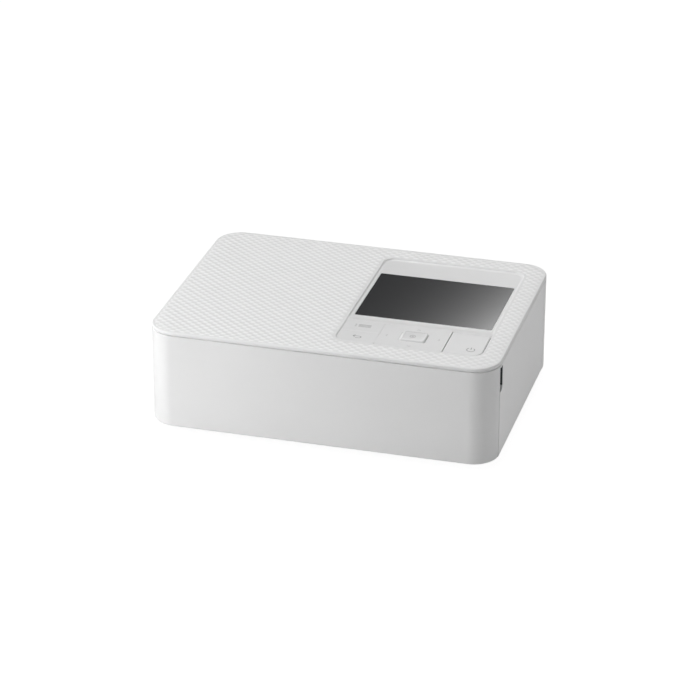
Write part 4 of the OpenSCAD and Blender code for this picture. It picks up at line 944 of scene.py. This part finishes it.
def stroke(work, centre, top, points, width=0.4):
    """A band of ink along points, in mm from the symbol's centre."""
    left_edge, right_edge = [], []
    for i, point in enumerate(points):
        before, after = Vector(points[max(i - 1, 0)]), Vector(points[min(i + 1, len(points) - 1)])
        across = (after - before).normalized()
        across = Vector((-across.y, across.x)) * width / 2
        left_edge.append(Vector(point) + across)
        right_edge.append(Vector(point) - across)
    outline = right_edge + left_edge[::-1]
    rows = [[work.verts.new((centre[0] + p.x * MM, centre[1] + p.y * MM, z)) for p in outline]
            for z in (top - INK_SUNK, top + INK_THICK)]
    count = len(outline)
    for i in range(count):
        j = (i + 1) % count
        work.faces.new((rows[0][i], rows[0][j], rows[1][j], rows[1][i]))
    for i in range(len(points) - 1):
        j = count - 1 - i
        work.faces.new((rows[1][i], rows[1][i + 1], rows[1][j - 1], rows[1][j]))
        work.faces.new((rows[0][j], rows[0][j - 1], rows[0][i + 1], rows[0][i]))


def arc(radius, start, end, steps=20):
    """Points of an arc, with its angles in degrees from the right."""
    angles = [math.radians(start + (end - start) * i / steps) for i in range(steps + 1)]
    return [(radius * math.cos(angle), radius * math.sin(angle)) for angle in angles]


print("inks:", ink.name, pale_ink.name)

# %% [markdown]
# A symbol is a few strokes on one key. It is drawn flat, in millimetres from its own centre,
# and lies at the height of its key's top. The arrowheads are one head in four turns.

# %% Symbols on the keys
def symbol(name, body, centre, top, strokes, width=0.4, material=ink):
    """A symbol of several strokes on a key; its centre is in mm."""
    def draw(work):
        for points in strokes:
            stroke(work, [value * MM for value in centre], top, points, width)
    finish(solid_mesh(name, draw), name, body, "frame_grey", material=material)


key_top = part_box("menu_key")[1].z
symbol("menu_symbol", "menu_button", (14.4, -32.5), key_top,
       [[(-4.2, y), (-3.4, y)] for y in (-1.1, 0, 1.1)]
       + [[(-2.4, y), (4.2, y)] for y in (-1.1, 0, 1.1)], 0.42)
symbol("back_symbol", "back_button", (14.6, -45.5), key_top,
       [[(-2.2, 0.6), (1.2, 0.6)], [(x + 1.2, y - 0.4) for x, y in arc(1.0, 90, -90, 12)],
        [(1.2, -1.4), (-0.6, -1.4)], [(-1.1, 1.7), (-2.3, 0.6), (-1.1, -0.5)]], 0.42)
symbol("choose_symbol", "ok_button", (42.15, -39.65), ok_top,
       [arc(1.35, 0, 350, 24), arc(0.35, 0, 350, 10)], 0.4)
symbol("power_symbol", "power_button", (73.4, -45.3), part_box("power_key")[1].z,
       [arc(2.0, 125, 415, 28), [(0, 0.3), (0, 2.6)]], 0.45)
for name, centre, turn_degrees in (("up", (43, -29.9), 90), ("left", (28.6, -40), 180),
                                   ("right", (55.5, -38.5), 0), ("down", (42.5, -49.4), 270)):
    angle = math.radians(turn_degrees)
    head = [(x * math.cos(angle) - y * math.sin(angle), x * math.sin(angle) + y * math.cos(angle))
            for x, y in ((-0.5, 0.9), (0.5, 0), (-0.5, -0.9))]
    symbol("arrow_" + name, "nav_button", centre, pad_top, [head], 0.4, pale_ink)

# %% [markdown]
# The rest of the machine is seen through an open door, an ejected cassette or from below. Each
# solid gets edges that fit how it was made: sheet steel is punched, so its edges stay nearly
# sharp, turned shafts have small chamfers, and moulded frames and the cassette are rounder.

# %% Edges of the works
# Width of the rounding in mm
EDGE_BY_SLOT = {"sheet_steel": 0.1, "brass": 0.12, "gear_white": 0.08, "chip_black": 0.12,
                "frame_grey": 0.2, "base_grey": 0.2, "cassette_grey": 0.25, "rubber": 0.15,
                "board_green": 0.05, "head_ceramic": 0.05, "head_aluminium": 0.15,
                "lever_orange": 0.2, "cable_cream": 0.04}
EDGE_ELSE = 0.1
MADE_ELSEWHERE = {"rubber_feet", "case_screws", "head_springs"}
done = {*SHELLS, *MADE_ELSEWHERE, *KEYS, "ok_key", "display_window"}
open_ones = []
for node in sorted(set(nodes) - done):
    piece = dress(node, EDGE_BY_SLOT.get(slot_of[node], EDGE_ELSE), 1, node + "_finished")
    if open_edges(piece.data):
        open_ones.append(node)
print("finished:", len(nodes) - len(done), "with open edges:", open_ones)

# %% [markdown]
# Each foot is a punched rubber disc with a rounded rim and two grooves in its sole, which keep
# it from sliding on a wet table. A foot is a shape of revolution, so it is a stack of circles.

# %% Rubber feet
def loose_boxes(node):
    """The boxes of a node's separate bodies, as (lowest, highest) corners."""
    work = bmesh.new()
    work.from_mesh(nodes[node].data)
    bmesh.ops.remove_doubles(work, verts=work.verts, dist=MERGE_REACH)
    unseen, boxes = set(work.verts), []
    while unseen:
        group = [unseen.pop()]
        for vert in group:               # the list grows while it is read
            for edge in vert.link_edges:
                other = edge.other_vert(vert)
                if other in unseen:
                    unseen.discard(other)
                    group.append(other)
        boxes.append(tuple(Vector([pick(vert.co[i] for vert in group) for i in range(3)])
                           for pick in (min, max)))
    work.free()
    return sorted(boxes, key=lambda box: tuple(round(value, 5) for value in (*box[0], *box[1])))


def circle_loop(centre, radius, z, count=48):
    """Points of a level circle, anticlockwise seen from above."""
    return [(centre[0] + radius * math.cos(2 * math.pi * i / count),
             centre[1] + radius * math.sin(2 * math.pi * i / count), z) for i in range(count)]


# Radius and height in mm, from the foot's top down and in over the sole
FOOT_PROFILE = ((6.0, 2.0), (6.0, 0.45), (5.85, 0.12), (5.5, 0.0), (4.9, 0.0), (4.7, 0.3),
                (4.1, 0.3), (3.9, 0.0), (2.7, 0.0), (2.5, 0.3), (1.9, 0.3), (1.7, 0.0))


def feet(work):
    for low, high in loose_boxes("rubber_feet"):
        stacked(work, [circle_loop((low + high) / 2, radius * MM, z * MM)
                       for radius, z in FOOT_PROFILE])


feet_mesh = solid_mesh("feet", feet)
feet_mesh.shade_smooth()
feet_mesh.set_sharp_from_angle(angle=math.radians(35))
finish(feet_mesh, "rubber_feet_grooved", "chassis", "rubber", "rubber_feet")
print("feet:", len(loose_boxes("rubber_feet")))

# %% [markdown]
# The screws are pan-head screws with a cross recess. A screw repeats, so Geometry Nodes make
# it: a flat head with the recess cut out by two blades, and a shank, set on every point of a
# small mesh. A cut is only sure where no two faces of its cutters lie in one plane, so one
# blade is a little taller than the other.

# %% Tree of a screw
BLADE_LONG, BLADE_WIDE = 1.15, 0.24      # shares of the head's radius
BLADE_TALL, TALLER_PER_TURN = 1.3, 0.1   # shares of the head's height
SHANK_SUNK = 0.6                         # share of the head's height that hides the shank's end


def screw_tree():
    """A head whose top looks along +Z from the point; the shank goes the other way."""
    tree, given = new_tree("cross_screw", {"Head radius": 1.0, "Head height": 1.0,
                                           "Shank radius": 1.0, "Shank length": 1.0,
                                           "Turn": (0.0, 0.0, 0.0)})
    head = add_node(tree, "GeometryNodeMeshCylinder", Vertices=28, Radius=given["Head radius"],
                    Depth=given["Head height"])
    half_head = add_node(tree, MATH, given["Head height"], 0.5, operation="MULTIPLY")
    sunk = add_node(tree, MATH, half_head, -1.0, operation="MULTIPLY")
    head = add_node(tree, "GeometryNodeTransform", Geometry=head,
                    Translation=add_node(tree, "ShaderNodeCombineXYZ", Z=sunk))
    cut = add_node(tree, "GeometryNodeMeshBoolean", head, operation="DIFFERENCE", solver="EXACT")
    for turn in (0.0, math.pi / 2):
        shares = (("Head radius", BLADE_LONG), ("Head radius", BLADE_WIDE),
                  ("Head height", BLADE_TALL + TALLER_PER_TURN * turn))
        sides = [add_node(tree, MATH, given[name], share, operation="MULTIPLY")
                 for name, share in shares]
        blade = add_node(tree, "GeometryNodeMeshCube",
                         Size=add_node(tree, "ShaderNodeCombineXYZ", *sides))
        blade = add_node(tree, "GeometryNodeTransform", Geometry=blade, Rotation=(0, 0, turn))
        tree.links.new(blade.outputs[0], cut.inputs[1])
    shank = add_node(tree, "GeometryNodeMeshCylinder", Vertices=20, Radius=given["Shank radius"],
                     Depth=given["Shank length"])
    down = add_node(tree, MATH, given["Shank length"], given["Head height"], operation="ADD")
    down = add_node(tree, MATH, down, -0.5, operation="MULTIPLY")
    hidden = add_node(tree, MATH, half_head, SHANK_SUNK, operation="MULTIPLY")
    down = add_node(tree, MATH, down, hidden, operation="SUBTRACT")
    shank = add_node(tree, "GeometryNodeTransform", Geometry=shank,
                     Translation=add_node(tree, "ShaderNodeCombineXYZ", Z=down))
    joined = add_node(tree, "GeometryNodeJoinGeometry")
    for part in (shank, cut):
        tree.links.new(part.outputs[0], joined.inputs[0])
    turn = add_node(tree, "FunctionNodeEulerToRotation", Euler=given["Turn"])
    screws = add_node(tree, "GeometryNodeInstanceOnPoints", Points=given["Points"],
                      Instance=joined, Rotation=turn)
    end_tree(tree, screws, materials["sheet_steel"])
    return tree


tree = screw_tree()
print("nodes in the screw's tree:", len(tree.nodes))

# %% [markdown]
# Long case screws point up from below; short ones hold the plates from above. Their places
# and sizes are read from the source's plain screws. The two sets are joined and their edges
# are rounded last, because the recess has none before it is cut.

# %% Screws
CASE_HEAD, PLATE_HEAD, LONG_FROM = 1.3 * MM, 1.0 * MM, 6 * MM
JOIN_REACH = 0.0005 * MM


def joined_mesh(name, meshes):
    """The meshes as one, its doubles merged and its large faces cut."""
    def gather(work):
        for mesh in meshes:
            work.from_mesh(mesh)
        bmesh.ops.remove_doubles(work, verts=work.verts, dist=JOIN_REACH)
        bmesh.ops.triangulate(work, faces=[face for face in work.faces if len(face.verts) > 4])
    return solid_mesh(name, gather)


screw_boxes = loose_boxes("case_screws")
long_screws = [box for box in screw_boxes if box[1].z - box[0].z > LONG_FROM]
short_screws = [box for box in screw_boxes if box[1].z - box[0].z <= LONG_FROM]
screw_meshes = []
for boxes, height, turn, down in ((long_screws, CASE_HEAD, (math.pi, 0.0, 0.3), True),
                                  (short_screws, PLATE_HEAD, (0.0, 0.0, 0.4), False)):
    radius = (boxes[0][1].x - boxes[0][0].x) / 2
    length = boxes[0][1].z - boxes[0][0].z - height * 0.7
    points = [((low.x + high.x) / 2, (low.y + high.y) / 2, low.z if down else high.z)
              for low, high in boxes]
    screw_meshes.append(grown(tree, "screws", {
        "Head radius": radius, "Head height": height, "Shank radius": radius / 2,
        "Shank length": length, "Turn": turn}, points))
screws = edge_round(joined_mesh("screws", screw_meshes), 0.08)
finish(screws, "cross_head_screws", "chassis", "sheet_steel", "case_screws")
print("screws:", len(long_screws), "long,", len(short_screws), "short,", open_edges(screws),
      "open edges")

# %% [markdown]
# The head is pressed down by two torsion springs of round wire, wound on its pivot shaft. A
# spiral curve that is swept with a round section gives the coil. It stands on end, so it is
# laid along X and set on a point at the left end of each spring.

# %% Torsion springs
WIRE, WIRE_SHARE, SPRING_GAP = 0.4 * MM, 0.85, 2 * MM


def spring_tree():
    """A coil that runs along +X from the point."""
    tree, given = new_tree("torsion_spring", {"Coil radius": 1.0, "Wire radius": 1.0,
                                              "Length": 1.0, "Turns": 4.0})
    coil = add_node(tree, "GeometryNodeCurveSpiral", Resolution=28, Rotations=given["Turns"],
                    Height=given["Length"], Start_Radius=given["Coil radius"],
                    End_Radius=given["Coil radius"])
    wire = add_node(tree, "GeometryNodeCurvePrimitiveCircle", Resolution=10,
                    Radius=given["Wire radius"])
    mesh = add_node(tree, "GeometryNodeCurveToMesh", Curve=coil, Profile_Curve=wire,
                    Fill_Caps=True)
    lying = add_node(tree, "GeometryNodeTransform", Geometry=mesh, Rotation=(0, math.pi / 2, 0))
    springs = add_node(tree, "GeometryNodeInstanceOnPoints", Points=given["Points"],
                       Instance=lying)
    end_tree(tree, springs, materials["sheet_steel"])
    return tree


groups = []                              # boxes of rings that lie close together are one spring
for low, high in loose_boxes("head_springs"):
    if groups and low.x - groups[-1][1].x < SPRING_GAP:
        groups[-1] = (groups[-1][0], Vector((high.x, *groups[-1][1][1:])))
    else:
        groups.append((low, high))
coil_radius = (groups[0][1].z - groups[0][0].z) / 2 - WIRE
starts = [(low.x + WIRE, (low.y + high.y) / 2, (low.z + high.z) / 2) for low, high in groups]
springs = grown(spring_tree(), "springs", {
    "Coil radius": coil_radius, "Wire radius": WIRE * WIRE_SHARE,
    "Length": groups[0][1].x - groups[0][0].x - 2 * WIRE, "Turns": 4.0}, starts)
springs = joined_mesh("springs", [springs])
springs.shade_smooth()
finish(springs, "torsion_springs", "chassis", "sheet_steel", "head_springs")
print("springs:", len(groups), "of radius", round(coil_radius / MM, 2), "mm,",
      open_edges(springs), "open edges")

# %% [markdown]
# The picture has a plain white sweep. The floor shows as white to the camera and in
# reflections, but is a pale matt surface to all other light, and it keeps the object's soft
# shadow. The world does the same: white where it is seen, and nearly dark as a light.

# %% White sweep and world
FLOOR_GLOW, FLOOR_ALBEDO, WORLD_LIGHT, WHITE = 0.96, 0.15, 0.03, (1, 1, 1, 1)


def seen_as_white(tree):
    """1 for rays that come from the camera, a reflection or a refraction."""
    path = add_node(tree, "ShaderNodeLightPath").outputs
    seen = path["Is Camera Ray"]
    for name in ("Is Glossy Ray", "Is Transmission Ray"):
        seen = add_node(tree, MATH, seen, path[name], operation="MAXIMUM")
    return seen


def painted_sheet(name, corners, paint_name):
    """A flat sheet with an empty material; returns the sheet and the material's tree."""
    mesh = bpy.data.meshes.new(name)
    mesh.from_pydata(corners, [], [(0, 1, 2, 3)])
    paint = bpy.data.materials.new(paint_name)
    mesh.materials.append(paint)
    return add_object(name, mesh), emptied(paint)


floor, tree = painted_sheet("floor", [(-4, -3, 0), (4, -3, 0), (4, 5, 0), (-4, 5, 0)],
                            "matt_white_sweep")
matt = add_node(tree, "ShaderNodeBsdfDiffuse", Color=linear("#f2f2f2"))
glow = add_node(tree, "ShaderNodeEmission", Color=WHITE, Strength=FLOOR_GLOW)
lit = add_node(tree, "ShaderNodeBsdfDiffuse", Color=[FLOOR_ALBEDO] * 3 + [1])
seen = add_node(tree, "ShaderNodeAddShader", glow, lit)
mixed = add_node(tree, "ShaderNodeMixShader", seen_as_white(tree), matt, seen)
add_node(tree, "ShaderNodeOutputMaterial", Surface=mixed)
floor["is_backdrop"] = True

world = bpy.data.worlds.new("studio")
scene.world = world
tree = emptied(world)
ambient, white = [add_node(tree, "ShaderNodeBackground", Color=WHITE, Strength=strength)
                  for strength in (WORLD_LIGHT, 1.0)]
mixed = add_node(tree, "ShaderNodeMixShader", seen_as_white(tree), ambient, white)
add_node(tree, "ShaderNodeOutputWorld", Surface=mixed)
print("sweep and world:", floor.name, world.name)

# %% [markdown]
# The lamps are large soft boxes. A big one overhead lights the top, a near one and a high one
# at the left draw the bright left corner, and weak ones in front, at the right and behind fill
# the faces. The one behind is kept out of reflections, where it would show in the window.

# %% Lamps
MIDDLE = (0, 0, 0.04)


def soft_box(name, place, side, watts):
    """A square area lamp that faces the object's middle."""
    lamp = bpy.data.lights.new(name, "AREA")
    lamp.shape, lamp.size, lamp.size_y, lamp.energy = "RECTANGLE", side, side, watts
    box = add_object(name, lamp)
    box.matrix_world = Matrix.Translation(place) @ (
        Vector(place) - Vector(MIDDLE)).to_track_quat("Z", "Y").to_matrix().to_4x4()
    box.visible_camera = False
    return box


soft_box("top_box", (-0.2, 0.15, 1.1), 0.9, 7.1)
soft_box("near_left_box", (-0.38, -0.32, 0.14), 0.2, 1.2)
soft_box("high_left_box", (-0.7, -0.3, 0.75), 0.4, 1.2)
soft_box("front_box", (0, -1.3, 0.3), 0.8, 0.55)
soft_box("right_box", (1.0, -0.3, 0.5), 0.6, 1.75)
back_box = soft_box("back_box", (-0.5, 1.0, 0.6), 0.6, 0.7)
back_box.visible_glossy = False
print("lamps:", [lamp.name for lamp in bpy.data.lights])

# %% [markdown]
# Two cards are seen by reflections alone. The one behind the object fades across the window,
# from dark at the left to bright at the right, as a studio card does at an angle. The dark one
# lies on the floor, and the left edge that mirrors it stands out against the white.

# %% Cards for the reflections
FLAG_LEVEL = 0.4 * MM
FADE_FROM, FADE_TO = (-0.8, 0.75), (-0.3, 1.25)      # the fade goes on past both ends


def only_reflected(card):
    """Hides a card from every ray but those that a glossy surface sends out."""
    for ray in ("camera", "diffuse", "shadow", "transmission", "volume_scatter"):
        setattr(card, "visible_" + ray, False)
    card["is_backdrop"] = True


def dark_flag(low, high, brightness):
    """A flat card just above the floor, between two corners."""
    corners = [(x, y, FLAG_LEVEL) for x, y in (low, (high[0], low[1]), high, (low[0], high[1]))]
    card, tree = painted_sheet("dark_flag", corners, "grey_flag")
    glow = add_node(tree, "ShaderNodeEmission", Strength=brightness)
    add_node(tree, "ShaderNodeOutputMaterial", Surface=glow)
    only_reflected(card)


def reflector_card(middle, facing, size, fade_width, turn_up, base, low, high):
    """A square card that brightens across, by the same factor each step, from base + low to
    base + high. turn_up tilts the fade: how much it also goes up."""
    facing = (Vector(facing) - Vector(middle)).normalized()
    across = Vector((0, 0, 1)).cross(facing).normalized()
    upward = facing.cross(across)
    corners = [Vector(middle) + across * size * a / 2 + upward * size * b / 2
               for a, b in ((-1, -1), (1, -1), (1, 1), (-1, 1))]
    card, tree = painted_sheet("reflector_card", corners, "faded_card")
    place = add_node(tree, "ShaderNodeTexCoord").outputs["Object"]
    offset = add_node(tree, "ShaderNodeVectorMath", place, middle, operation="SUBTRACT")
    fade = add_node(tree, "ShaderNodeVectorMath", offset, (across + upward * turn_up) / fade_width,
                    operation="DOT_PRODUCT").outputs["Value"]
    fade = add_node(tree, "ShaderNodeMapRange", fade, *FADE_FROM, *FADE_TO)
    glow = add_node(tree, MATH, high / low, fade, operation="POWER")
    glow = add_node(tree, MATH, glow, low, base, operation="MULTIPLY_ADD")
    glow = add_node(tree, "ShaderNodeEmission", Color=WHITE, Strength=glow)
    add_node(tree, "ShaderNodeOutputMaterial", Surface=glow)
    only_reflected(card)


reflector_card((-0.0886, 0.5334, 0.315), (0.0544, 0.0119, 0.0564), size=0.3, fade_width=0.102,
               turn_up=1.35, base=0.14, low=0.078, high=1.49)
dark_flag((-0.4, -0.25), (-0.094, 0.3), 0.15)

# %% [markdown]
# Two boxes are printed: that of the solids as they came, and that of the dressed pieces.

# %% Sizes and finish
for title, (lowest, highest) in (("solids", cad_box), ("dressed pieces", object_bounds())):
    print(title, [round(value / MM, 1) for value in Vector(highest) - Vector(lowest)], "mm")
